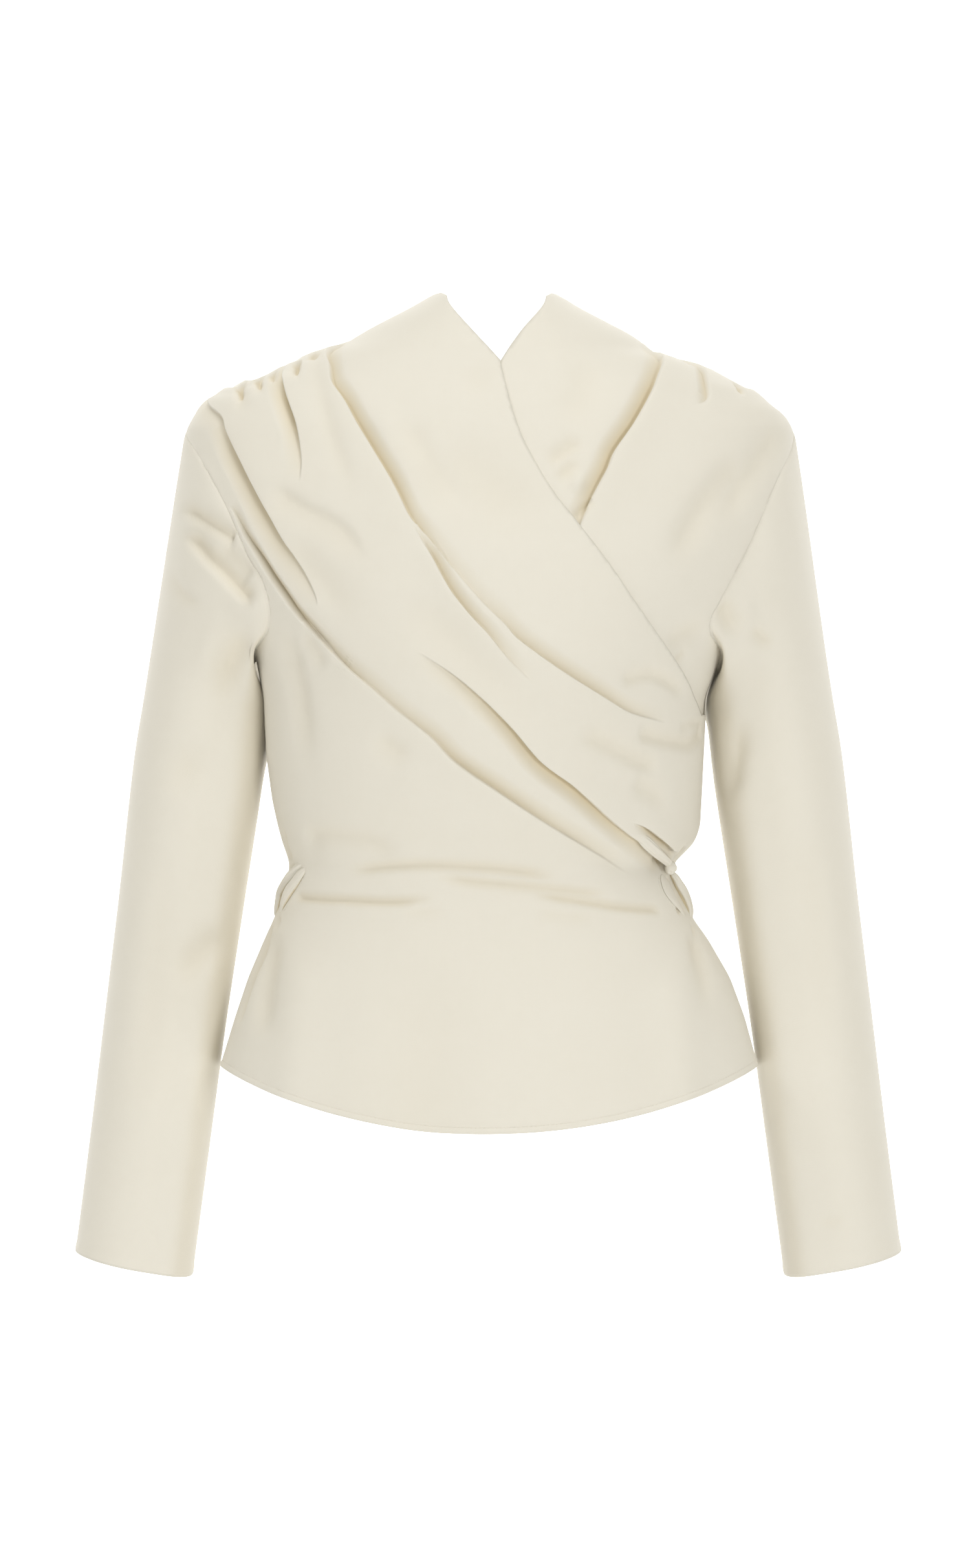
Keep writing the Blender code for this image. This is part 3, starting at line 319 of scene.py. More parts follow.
# A wave is a soft ridge, or a trough where its height is negative. Left and right are its widths on
# the two sides of its route, so that a crease can be sharp on one side.
Wave = namedtuple("Wave", "name height left right start end route")
RIGHT_FRONT_WAVES = (
    Wave("ridge along the armhole", 1.0, 5, 3.5, 12, 20,
         ((-194, -46), (-189.3, -59.9), (-178.9, -85.2), (-169.9, -103.7))),
    Wave("pinned tuck nearest the armhole", -4.0, 1.8, 1.4, 0, 8,
         ((-169.7, 0), (-168.5, -4.1), (-168.2, -11))),
    Wave("trough under that tuck", -2.6, 6, 3.5, 0, 14, ((-169, -1), (-167.5, -9.8), (-168.5, -21))),
    Wave("second pinned tuck", -3.6, 2.0, 1.4, 0, 6, ((-157, 5.7), (-155.8, 2), (-154.4, -1.9))),
    Wave("trough under the second tuck", -2.2, 4, 3.5, 0, 9, ((-156.5, 4), (-154.5, -2), (-153, -8))),
    Wave("tuck beside the middle pleat", -3.4, 1.8, 1.4, 0, 5, ((-147.5, 9.8), (-147, 6.5), (-145.5, 3.5))),
    Wave("third pinned tuck", -4.2, 2.0, 1.6, 0, 6, ((-130, 15.5), (-130.3, 11), (-129.5, 7))),
    Wave("trough under the third tuck", -2.2, 3.5, 4, 0, 9, ((-130.3, 13), (-129.1, 4), (-129.5, 0))),
    Wave("pin mark beside the collar", -3.0, 1.8, 1.4, 0, 5, ((-120, 20.5), (-117, 20), (-113, 21))),
    Wave("soft valley left of the collar pleat", -1.4, 6, 7, 0, 30,
         ((-115.8, 15.6), (-113.1, -3.1), (-106.2, -29.9), (-97.4, -56.4), (-87.7, -78.3))),
    Wave("valley beside the collar", -4.2, 22, 22, 30, 40, ((-39, -41), (0, -72), (35, -108))),
    Wave("dent in the collar", -1.4, 14, 10, 12, 12, ((-14, 14), (-8, 0), (-2, -12))),
    Wave("second valley beside the collar", -2.6, 9, 16, 25, 40, ((-60, -20), (-38, -58), (-6, -100))),
    Wave("roll beside the shoulder pleat", 2.0, 10, 8, 20, 30, ((-78, -12), (-60, -44), (-38, -80))),
    Wave("broad valley under the shoulder", -3.0, 4.5, 15, 14, 30,
         ((-146, -70), (-124, -84), (-99, -98), (-80, -125))),
    Wave("valley above the deep pocket", -2.6, 14, 9, 20, 40, ((-136, -100), (-112, -134), (-84, -166))),
    Wave("long valley to the knot", -2.4, 12, 16, 40, 50, ((-60, -140), (-10, -190), (40, -232))),
    Wave("trough down the side", -3.4, 10, 12, 30, 50,
         ((-137, -159), (-133, -180), (-129, -199), (-119, -268))),
    Wave("short trough down the side", -2.2, 6, 8, 12, 12, ((-125, -165), (-116, -180), (-108, -194))),
    Wave("trough under the deep pocket", -2.6, 7, 9, 15, 15, ((-79, -236), (-50, -254))),
    Wave("upper dent over the bust", -2.2, 6, 4, 10, 20,
         ((87, -202.5), (99.4, -198.4), (110.4, -197.4), (121, -202), (134, -210))),
    Wave("upper trough over the bust", -2.8, 7, 4, 10, 8,
         ((98, -237.5), (106.1, -238.1), (119.4, -241.1), (135.2, -243.1), (141.2, -240.4), (146, -234))),
    Wave("thin crease over the bust", -1.3, 3, 6, 8, 10, ((128, -232), (140, -228), (147, -232))),
    Wave("middle trough over the bust", -2.6, 8, 5, 16, 14,
         ((58, -236), (64.7, -238.2), (84.2, -246.8), (99.6, -254.6), (116, -259))),
    Wave("lower trough over the bust", -2.4, 9, 7, 10, 16,
         ((96, -266), (101.8, -270.6), (110.7, -277.1), (122.3, -284.9))),
    Wave("band under the knot's edge", -1.6, 6, 8, 16, 16,
         ((48, -299), (62.7, -307.3), (75.8, -316.1), (93.4, -327))),
    Wave("blouse over the waist, right", 2.0, 12, 12, 20, 30, ((-120, -312), (-80, -316), (-30, -318))),
    Wave("soft crease above the waist", -2.2, 6, 8, 15, 20, ((-126, -303), (-85, -306), (-56, -318))),
    Wave("upper waist crease", -3.0, 4, 3, 25, 25,
         ((-97, -328), (-54, -324), (-11, -325), (22, -328), (50, -332))),
    Wave("middle waist crease", -2.6, 3, 3.4, 25, 20,
         ((-39, -330), (-11, -334), (25, -337), (61, -341), (83, -343))),
    Wave("lower waist crease, right", -3.2, 3.4, 2.4, 10, 30,
         ((-132, -345), (-115, -346.5), (-97, -347), (-61, -348), (-32, -344))),
    Wave("lower waist crease, left", -3.0, 3.4, 2.4, 25, 10,
         ((25, -342), (54, -346), (72, -349), (90, -352), (118, -354))),
    Wave("faint crease under the waist, right", -0.9, 3, 5, 15, 15, ((-61, -355), (-25, -354))),
    Wave("faint crease under the waist, left", -0.9, 3, 5, 15, 15, ((28, -355), (75, -359))),
    Wave("roll under the waist, right", 1.1, 5, 6, 20, 30, ((-112, -354), (-70, -356), (-30, -352))),
    Wave("flare at the right of the peplum", 4, 20, 20, 40, 0, ((-120, -372), (-127, -420), (-133, -490))),
    Wave("trough at the right of the peplum", -4.4, 12, 12, 20, 30,
         ((-143, -366), (-149, -400), (-153, -445))),
    Wave("fold at the right edge of the peplum", -3.5, 3, 5, 10, 20,
         ((-145, -361), (-153, -383), (-161, -405), (-170, -435))),
    Wave("trough at the left of the peplum", -4.4, 9, 10, 12, 50, ((138, -366), (143, -387), (147, -430))),
    Wave("flare at the left of the peplum", 4, 17, 17, 30, 0, ((120, -385), (128, -430), (132, -490))),
    Wave("hollow beside the knot", -7.0, 3, 3, 1.5, 1.5, ((113.5, -317.5), (117, -320), (119.5, -324.5))),
    Wave("shade under the blouse at the knot", -5.5, 3.2, 3.2, 3, 3,
         ((125, -320), (129, -317), (133.5, -311.5))),
    Wave("hollow under the left ties", -1.6, 3, 3, 4, 5,
         ((121, -331), (124, -339), (129, -348), (134.5, -357))),
    Wave("fold below the left ties", -2.2, 3.5, 2.5, 2, 8, ((137.7, -363), (139.5, -368), (141.2, -374))),
    Wave("eyelet beside the left ties", -2.4, 1.2, 1.2, 0, 0, ((128.2, -354.4), (128.7, -355.6))),
    Wave("hollow under the right ties", -1.6, 3, 3, 5, 5,
         ((-124, -326), (-131, -336), (-137, -346), (-141.5, -355))),
    Wave("tuck above the right ties", -2.0, 2.5, 1.8, 2, 3, ((-137, -331), (-134, -328.5), (-130.5, -326))),
    Wave("hollow above the right ties", -2.2, 3, 5, 12, 3, ((-139.5, -296), (-137, -310), (-133, -321))),
    Wave("fold below the right ties", -2.2, 2.5, 3.5, 2, 10,
         ((-140.8, -358), (-142.5, -363), (-142.8, -369))),
    Wave("trough at the middle of the peplum", -4.2, 30, 30, 50, 0, ((-40, -380), (-45, -440), (-48, -500))),
)


def blended_column(name, heights):
    """One column of the body table at each height, with its corners rounded off."""
    rows = sorted(BODY)
    values = np.interp(heights, [row.height for row in rows], [getattr(row, name) for row in rows])
    weights = np.hanning(SMOOTHING + 2)[1:-1]
    reach = SMOOTHING // 2
    below = 2 * values[0] - values[reach:0:-1]
    above = 2 * values[-1] - values[-2:-reach - 2:-1]
    return np.convolve(np.concatenate([below, values, above]), weights / weights.sum(), "valid")


HEIGHTS = np.arange(float(BODY[0].height), float(BODY[-1].height) + 1.0)
COLUMNS = {name: blended_column(name, HEIGHTS) for name in Section._fields[1:]}


def section(z):
    """Left, right, front, back and middle of the body at height z."""
    return [np.interp(z, HEIGHTS, COLUMNS[name]) for name in Section._fields[1:]]


def surface(face, angle, z):
    """Point on the body's front (face -1) or back (face +1), angle 0 being the middle of that face."""
    left, right, front, back, middle = section(z)
    across = np.sin(angle)
    deep = (front + middle) if face < 0 else (back - middle)
    x = across * np.where(across < 0, left, right)
    return np.stack([x, middle + face * deep * np.cos(angle), z * np.ones_like(x)], axis=-1)


def surface_normal(face, angle, z):
    """Unit normal of the plain surface there, pointing out of the garment."""
    step = 0.01
    around = surface(face, angle + step, z) - surface(face, angle - step, z)
    upward = surface(face, angle, z + 1.0) - surface(face, angle, z - 1.0)
    normal = np.cross(around, upward) * -face
    return normal / np.linalg.norm(normal, axis=-1, keepdims=True)


def girth_table():
    """For both faces, the distance round the body from its middle line, by height and angle."""
    tables = {}
    for face in (-1, 1):
        points = np.stack([surface(face, angle, HEIGHTS) for angle in ANGLES], axis=1)
        steps = np.linalg.norm(np.diff(points, axis=1), axis=2)
        table = np.concatenate([np.zeros((len(HEIGHTS), 1)), np.cumsum(steps, axis=1)], axis=1)
        tables[face] = table - table[:, len(ANGLES) // 2, None]
    return tables


GIRTH = girth_table()


def girth_rows(face, z):
    """The girth table's row at each height z, blended between its two nearest heights."""
    place = np.clip(np.asarray(z, float) - HEIGHTS[0], 0, len(HEIGHTS) - 1.001)
    low = place.astype(int)
    share = (place - low)[:, None]
    return GIRTH[face][low] * (1 - share) + GIRTH[face][low + 1] * share


def roll(face, flat):
    """Angles of points of the flat pattern, whose columns are girth and height."""
    rows = girth_rows(face, flat[:, 1])
    after = np.clip((rows < flat[:, :1]).sum(axis=1), 1, len(ANGLES) - 1)
    index = np.arange(len(flat))
    low, high = rows[index, after - 1], rows[index, after]
    share = np.clip((flat[:, 0] - low) / (high - low), 0, 1)
    return ANGLES[after - 1] + share * (ANGLES[after] - ANGLES[after - 1])


def unroll(face, places):
    """Flat pattern points of places given as distance across and height."""
    places = np.asarray(places, float)
    left, right = section(places[:, 1])[:2]
    angles = np.arcsin(np.clip(places[:, 0] / np.where(places[:, 0] < 0, left, right), -1, 1))
    rows = girth_rows(face, places[:, 1])
    girth = [np.interp(angle, ANGLES, row) for angle, row in zip(angles, rows)]
    return np.stack([girth, places[:, 1]], axis=1)


def evenly(line, step):
    """The same line with its points about one step apart."""
    length = np.concatenate([[0], np.cumsum(np.linalg.norm(np.diff(line, axis=0), axis=1))])
    marks = np.linspace(0, length[-1], max(2, round(length[-1] / step) + 1))
    return np.stack([np.interp(marks, length, line[:, k]) for k in range(line.shape[1])], axis=1)


CURVE_POINTS = 24       # points of a smooth curve between two of its given points


def smooth_path(points, step):
    """Points about one step apart on a smooth curve through the given points."""
    points = np.asarray(points, float)
    ends = np.concatenate([[2 * points[0] - points[1]], points, [2 * points[-1] - points[-2]]])
    fine = []
    for p0, p1, p2, p3 in zip(ends, ends[1:], ends[2:], ends[3:]):
        for t in np.linspace(0, 1, CURVE_POINTS, endpoint=False):
            fine.append(0.5 * (2 * p1 + (p2 - p0) * t + (2 * p0 - 5 * p1 + 4 * p2 - p3) * t * t
                               + (3 * p1 - p0 - 3 * p2 + p3) * t ** 3))
    fine.append(points[-1])
    return evenly(np.array(fine), step)


def sideways(line):
    """Unit vectors to the left of a flat line's direction."""
    along = np.gradient(line, axis=0)
    along /= np.linalg.norm(along, axis=1, keepdims=True)
    return np.stack([-along[:, 1], along[:, 0]], axis=1)


FAR = 1e6
AT_ONCE = 8000          # points whose distances are worked out together


def from_line(line, points, reach=FAR):
    """Signed distance of flat points from a line, left being positive, the distance along it, the
    line's length and the unit directions away from it. Points beyond reach count as far away."""
    step = np.diff(line, axis=0)
    size = (step ** 2).sum(axis=1)
    run = np.concatenate([[0], np.cumsum(np.sqrt(size))])
    signed, along = np.full(len(points), FAR), np.zeros(len(points))
    away = np.zeros_like(points)
    near_box = ((points > line.min(axis=0) - reach) & (points < line.max(axis=0) + reach)).all(axis=1)
    index = np.flatnonzero(near_box)
    for part in np.array_split(index, len(index) // AT_ONCE + 1):
        offset = points[part, None] - line[:-1]
        share = np.clip((offset * step).sum(axis=2) / size, 0, 1)
        gap = offset - share[..., None] * step
        distance = np.sqrt((gap ** 2).sum(axis=2))
        best = distance.argmin(axis=1)
        pick = np.arange(len(part))
        cross = step[best, 0] * offset[pick, best, 1] - step[best, 1] * offset[pick, best, 0]
        signed[part] = np.where(cross < 0, -1, 1) * distance[pick, best]
        along[part] = run[best] + share[pick, best] * np.sqrt(size[best])
        away[part] = gap[pick, best] / np.maximum(distance[pick, best], 1e-6)[:, None]
    return signed, along, run[-1], away


def ease(value):
    """0 below 0, 1 above 1 and a smooth rise between."""
    value = np.clip(value, 0, 1)
    return value * value * (3 - 2 * value)


def fade(fold, along, length):
    """How much of a fold is left at a distance along it."""
    fade_in = ease(along / fold.start) if fold.start else 1.0
    fade_out = ease((length - along) / fold.end) if fold.end else 1.0
    return fade_in * fade_out


LIP_ROUND = 0.5         # how far a pleat's lip is rounded off
LIP_SHARE = 0.6         # over this distance
PAINTED_SHADE_WAVE = 5.0       # a trough this deep takes the full painted shade of a fold
PAINTED_SHADE_WIDE = 3.5       # if it is no wider than this
PAINTED_SHADE_PLEAT = 6.0      # and so does a pleat that dips this deep
DROP_CURVE = 1.3        # how steeply the dip beside a lip deepens


def pleat_form(pleat, face, flat):
    """Height and sideways shift that one pleat gives the flat points, and how much painted shade lies on its
    low side.
    """
    reach = 3 * pleat.broad
    route = np.array(pleat.route, float)
    line = smooth_path(np.concatenate([unroll(face, route[:, :2]), route[:, 2:]], axis=1), CURVE_STEP)
    distance, along, _, away = from_line(line[:, :2], flat, reach)
    run = np.concatenate([[0], np.cumsum(np.linalg.norm(np.diff(line[:, :2], axis=0), axis=1))])
    depth = np.interp(along, run, np.maximum(line[:, 2], 0)) * (np.abs(distance) < reach)
    gap = np.abs(distance)
    laps = distance * pleat.lap > 0
    near = np.clip(1 - gap / pleat.narrow, 0, 1)
    lapping = pleat.rise * np.exp(-(gap / pleat.broad) ** 2) - LIP_ROUND * np.exp(-gap / LIP_SHARE)
    push = np.where(laps, pleat.over * np.exp(-(gap / (3 * pleat.over)) ** 2), 0)
    height = depth * np.where(laps, lapping, -pleat.drop * near ** DROP_CURVE)
    # Painted shade on the low side beside the lip.
    painted_shade = np.where(laps, 0, depth * near * min(1, pleat.drop / PAINTED_SHADE_PLEAT))
    return height, -away * (push * np.sqrt(depth))[:, None], painted_shade


def wave_form(wave, face, flat):
    """Height that one soft wave gives the flat points, and how much painted shade lies in its trough."""
    line = smooth_path(unroll(face, wave.route), CURVE_STEP)
    distance, along, length, _ = from_line(line, flat, 3 * max(wave.left, wave.right))
    width = np.where(distance > 0, wave.left, wave.right)
    height = wave.height * fade(wave, along, length) * np.exp(-(distance / width) ** 2)
    # The second value is painted shade in the trough, more in narrow ones.
    return height, np.maximum(-height, 0) / PAINTED_SHADE_WAVE * PAINTED_SHADE_WIDE / (wave.left + wave.right)


def armhole_line(side, face):
    """Flat points from the shoulder's tip down to the underarm, on the front or the back."""
    inner = {(-1, -1): RIGHT_ARMHOLE_FRONT, (1, -1): LEFT_ARMHOLE_FRONT,
             (-1, 1): RIGHT_ARMHOLE_BACK, (1, 1): LEFT_ARMHOLE_BACK}[side, face]
    seam = side * BEYOND_SIDE
    line = smooth_path(unroll(face, ((seam, SHOULDER_TIP), *inner, (seam, UNDERARM))), 1.0)
    return evenly(line, np.linalg.norm(np.diff(line, axis=0), axis=1).sum() / (SLEEVE_COLUMNS // 2))


def armhole_border(side, face, into=SEAM_GAP / 2):
    """The armhole's flat points moved into the panel, from the shoulder to the underarm."""
    line = armhole_line(side, face)
    line = line - side * sideways(line) * into
    rows = girth_rows(face, line[:, 1])
    girth = np.clip(line[:, 0], rows[:, 0] + SEAM_GAP / 2, rows[:, -1] - SEAM_GAP / 2)
    return np.stack([girth, line[:, 1]], axis=1)


def seam_line(face, side, low, high):
    """Flat points up a side or shoulder seam, half a gap inside it."""
    heights = np.linspace(low, high, max(2, round((high - low) / STEP) + 1))
    rows = girth_rows(face, heights)
    edge = rows[:, -1] - SEAM_GAP / 2 if side > 0 else rows[:, 0] + SEAM_GAP / 2
    return np.stack([edge, heights], axis=1)


def hem_height(angles, middle_height):
    """Height of the hem at the given angles, lower in the middle."""
    return HEM_SIDE + (middle_height - HEM_SIDE) * np.cos(angles) ** 2


def hem_line(face, middle_height, above=0.0):
    """Flat points of the hem, or of a line above it, from the wearer's right to the left."""
    angles = np.radians(np.linspace(-90, 90, 201))
    heights = hem_height(angles, middle_height) + above
    rows = girth_rows(face, heights)
    girth = np.array([np.interp(angle, ANGLES, row) for angle, row in zip(angles, rows)])
    girth[0] += SEAM_GAP / 2
    girth[-1] -= SEAM_GAP / 2
    return np.stack([girth, heights], axis=1)


SAME_PLACE = 0.35       # points nearer than this are one point


def joined(*lines):
    """One closed border of several lines, without doubled points."""
    points = []
    for line in lines:
        for place in line:
            if not points or np.linalg.norm(np.asarray(place) - points[-1]) > SAME_PLACE:
                points.append(np.asarray(place, float))
    if np.linalg.norm(points[0] - points[-1]) < SAME_PLACE:
        points.pop()
    return np.array(points)


def crossings(border, height):
    """Where a border crosses a height, from the wearer's right to the left."""
    after = np.roll(border, -1, axis=0)
    crosses = (border[:, 1] > height) != (after[:, 1] > height)
    start, end = border[crosses], after[crosses]
    share = (height - start[:, 1]) / (end[:, 1] - start[:, 1])
    return np.sort(start[:, 0] + share * (end[:, 0] - start[:, 0]))


def inside(points, border):
    """Whether each flat point lies inside the closed border."""
    return np.array([np.count_nonzero(crossings(border, y) < x) % 2 == 1 for x, y in points], bool)


def clear_of(points, others, gap):
    """Whether each point is at least a gap from all the others."""
    tree = KDTree(len(others))
    for number, (x, y) in enumerate(others):
        tree.insert((x, y, 0), number)
    tree.balance()
    return np.array([tree.find((x, y, 0))[2] > gap for x, y in points], bool)


ROW_CLEAR = 0.25        # points of a row keep this share of the spacing from other points
GRID_CLEAR = 0.62       # and points of the grid this share


def flat_pattern(border, rows, spacing):
    """Triangles over the border's inside, with points along the rows and a grid between them."""
    points = list(border)
    edges = [(k, (k + 1) % len(border)) for k in range(len(border))]
    for row in rows:
        good = inside(row, border) & clear_of(row, points, spacing * ROW_CLEAR)
        last = None
        for place, use in zip(row, good):
            if use:
                points.append(place)
                if last is not None:
                    edges.append((last, len(points) - 1))
            last = len(points) - 1 if use else None
    grid = []
    heights = np.arange(border[:, 1].min(), border[:, 1].max(), spacing * math.sqrt(3) / 2)
    for k, height in enumerate(heights):
        ends = crossings(border, height)
        for first, last in zip(ends[::2], ends[1::2]):
            shift = (k % 2) * spacing / 2
            start = math.ceil((first - shift) / spacing) * spacing + shift
            grid += [(x, height) for x in np.arange(start, last, spacing)]
    grid = np.array(grid)
    grid = grid[clear_of(grid, points, spacing * GRID_CLEAR)]
    points = np.concatenate([np.array(points), grid])
    result = delaunay_2d_cdt([tuple(p) for p in points], edges, [tuple(range(len(border)))], 1, 1e-4)
    return np.array([tuple(p) for p in result[0]]), np.array(result[2])


PLEAT_ROWS = (-8, -5.5, -3.2, -1.6, -0.45, 0.4, 1.1, 2.2, 4.0)     # rows of points beside a lip
SHARP_WAVE = 6          # a wave narrower than this has rows of its own
WAVE_ROW = 0.6          # at its middle and at this share of its widths


def fold_rows(panel):
    """Rows of flat points along each pleat and each sharp wave, where the mesh needs them."""
    rows = []
    for pleat in panel.pleats:
        line = smooth_path(unroll(panel.face, np.array(pleat.route)[:, :2]), FOLD_STEP)
        for offset in (-pleat.narrow, *PLEAT_ROWS):
            rows.append(line + sideways(line) * offset * pleat.lap)
    for wave in panel.waves:
        if min(wave.left, wave.right) < SHARP_WAVE:
            line = smooth_path(unroll(panel.face, wave.route), FOLD_STEP)
            rows += [line + sideways(line) * offset
                     for offset in (-WAVE_ROW * wave.right, 0, WAVE_ROW * wave.left)]
    return rows


def scallop_lift(face, flat):
    """How far the shoulder's outline stands off because of the pinned pleats."""
    lift = np.zeros(len(flat))
    for side, table in ((-1, RIGHT_SHOULDER), (1, LEFT_SHOULDER)):
        seam = seam_line(face, side, SHOULDER_TIP, COLLAR_SEAM_TOP)
        distance = np.abs(from_line(seam, flat, 3 * SCALLOP_REACH)[0])
        step = np.interp(flat[:, 1], [row.height for row in table], [row.lift for row in table])
        lift += step * np.exp(-(distance / SCALLOP_REACH) ** 2)
    return lift


def calmed(face, flat):
    """How much of the folds is left near the seams."""
    left = np.ones(len(flat))
    for side in (-1, 1):
        for line, calm in ((seam_line(face, side, HEM_SIDE - 1, UNDERARM), SEAM_CALM),
                           (seam_line(face, side, SHOULDER_TIP, COLLAR_SEAM_TOP), SHOULDER_CALM),
                           (armhole_line(side, face)[::3], ARMHOLE_CALM)):
            left = np.minimum(left, ease(np.abs(from_line(line, flat, 2 * calm)[0]) / calm))
    return left


TURN_EASE = 1.2         # a turned-up edge rises over this distance
DIP_WIDE = 0.8          # its stitches pull the cloth in over this distance
PUCKER = 0.14           # height of the puckers beside them
PUCKER_REACH = 4.0
HEM_RAISE = 0.3
HEM_PUCKERS = (2.1, 3.7)                # two lengths of puckers, mixed


def turned_edge(above, stitch, raised, puckers):
    """Height that a turned-up edge, its stitches and their puckers give the cloth, by its distance
    above the edge. Puckers are two waves along the edge."""
    pucker = (np.sin(puckers[0]) + np.sin(puckers[1] + 1.0)) / 2
    height = raised * (ease((stitch - above) / TURN_EASE) - np.exp(-((above - stitch) / DIP_WIDE) ** 2))
    return height + PUCKER * pucker * np.exp(-((above - stitch) / PUCKER_REACH) ** 2)


def turned_hem(panel, flat):
    """The turned-up hem: a slightly raised band, a dip along its stitches and small puckers."""
    if panel.hem is None:
        return 0.0
    above = flat[:, 1] - hem_height(roll(panel.face, flat), panel.hem)
    raised = HEM_RAISE * ease(above)
    return turned_edge(above, HEM_STITCH, raised, [flat[:, 0] / length for length in HEM_PUCKERS])


EDGE_REACH = 12.0       # a turned-in free edge shows over this distance
EDGE_SINK = 0.35        # it lies this much lower
EDGE_SINK_WIDE = 4.0
EDGE_ROUND = 0.4        # and is rounded off by this much
EDGE_ROUND_WIDE = 0.9
Panel = namedtuple("Panel", "face pleats waves inset hem free_edge")


def cloth_points(panel, flat):
    """Places on the panel's outer side for flat points with every fold, their normals, and how much
    painted shade they take."""
    calm = calmed(panel.face, flat)
    height, painted_shade = np.zeros(len(flat)), np.zeros(len(flat))
    shift = np.zeros_like(flat)
    for pleat in panel.pleats:
        lift, push, depth = pleat_form(pleat, panel.face, flat)
        height += lift
        shift += push
        # The deepest painted shade of all folds is kept; depth here is the pleat's painted shade.
        painted_shade = np.maximum(painted_shade, depth)
    for wave in panel.waves:
        lift, depth = wave_form(wave, panel.face, flat)
        height += lift
        painted_shade = np.maximum(painted_shade, depth)
    height = height * calm + scallop_lift(panel.face, flat) + turned_hem(panel, flat)
    if panel.free_edge is not None:
        distance = np.abs(from_line(panel.free_edge, flat, EDGE_REACH)[0])
        height -= EDGE_SINK * np.exp(-(distance / EDGE_SINK_WIDE) ** 2)
        height -= EDGE_ROUND * np.exp(-distance / EDGE_ROUND_WIDE)
    if panel.inset is not None:
        height -= panel.inset(flat)
    moved = flat + shift * calm[:, None]
    angles = roll(panel.face, moved)
    normal = surface_normal(panel.face, angles, moved[:, 1])
    return surface(panel.face, angles, moved[:, 1]) + normal * height[:, None], normal, painted_shade


def new_piece(name, points, faces, material, flat=None, painted_shade=None):
    """A mesh piece in millimetres, shaded smooth. Flat is its cut, as UV map, and the last, optional,
    argument holds the share of painted shade at each point."""
    mesh = bpy.data.meshes.new(name)
    mesh.from_pydata((np.asarray(points) * METRES_PER_MM).tolist(), [], faces)
    mesh.shade_smooth()
    layer = mesh.uv_layers.new(name="cut")
    if flat is not None:
        corners = np.empty(len(mesh.loops), dtype=np.int32)
        mesh.loops.foreach_get("vertex_index", corners)
        layer.data.foreach_set("uv", (np.asarray(flat)[corners] * METRES_PER_MM).ravel())
    if painted_shade is not None:
        # Painted shade, stored as a point attribute that the cloth material reads.
        shares = mesh.attributes.new("painted_shade", "FLOAT", "POINT").data
        shares.foreach_set("value", np.clip(painted_shade, 0, 1).ravel())
    piece = bpy.data.objects.new(name, mesh)
    bpy.context.scene.collection.objects.link(piece)
    mesh.materials.append(material)
    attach(piece, "root")
    return piece


def give_wall(piece, thickness=CLOTH):
    """The cloth's wall, inwards from its outer side."""
    wall = piece.modifiers.new("wall", "SOLIDIFY")
    wall.thickness = thickness * METRES_PER_MM
    wall.offset = -1.0
    wall.use_even_offset = False
    wall.use_quality_normals = True


HEM_TURN = 10           # cloth turned up at a hem
PLEAT_TAKE = 18         # cloth that one pleat takes up in the width
HEM_ROWS = (1.0, 2.4, 3.5, 4.3, 5.1, 6.6)       # rows of points above a hem


def cut_panel(name, node, panel, border, spacing):
    """One cut piece of the body, sewn in its place and hung as a sheet."""
    rows = fold_rows(panel)
    if panel.hem is not None:
        rows += [hem_line(panel.face, panel.hem, above) for above in HEM_ROWS]
    flat, faces = flat_pattern(border, rows, spacing)
    points, normals, painted_shade = cloth_points(panel, flat)
    corners = points[faces]
    facing = np.cross(corners[:, 1] - corners[:, 0], corners[:, 2] - corners[:, 0])
    if (facing * normals[faces[:, 0]]).sum() < 0:
        faces = faces[:, ::-1]
    piece = new_piece(name, points, faces.tolist(), BODY_CLOTH, flat, painted_shade)
    give_wall(piece)
    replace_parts(piece, node)
    wide, high = np.ptp(flat, axis=0)
    wide = (wide + len(panel.pleats) * PLEAT_TAKE) * METRES_PER_MM
    high = (high + HEM_TURN) * METRES_PER_MM


over_edge = smooth_path(unroll(-1, OVER_EDGE[:1 - NECK_POINTS]), STEP)
collar_edge = smooth_path(unroll(-1, OVER_EDGE[-NECK_POINTS:]), STEP)
RIGHT_FRONT = Panel(-1, RIGHT_FRONT_PLEATS, RIGHT_FRONT_WAVES, None, HEM_FRONT,
                    np.concatenate([over_edge[:-1], collar_edge])[::2])
cut_panel("front_right_cloth", "front_right", RIGHT_FRONT, joined(
    hem_line(-1, HEM_FRONT),
    seam_line(-1, 1, HEM_SIDE, OVER_EDGE[0][1])[1:],
    over_edge,
    collar_edge,
    unroll(-1, RIGHT_PEAK),
    seam_line(-1, -1, SHOULDER_TIP, COLLAR_SEAM_TOP)[::-1],
    armhole_border(-1, -1),
    seam_line(-1, -1, HEM_SIDE, UNDERARM)[::-1],
), STEP)

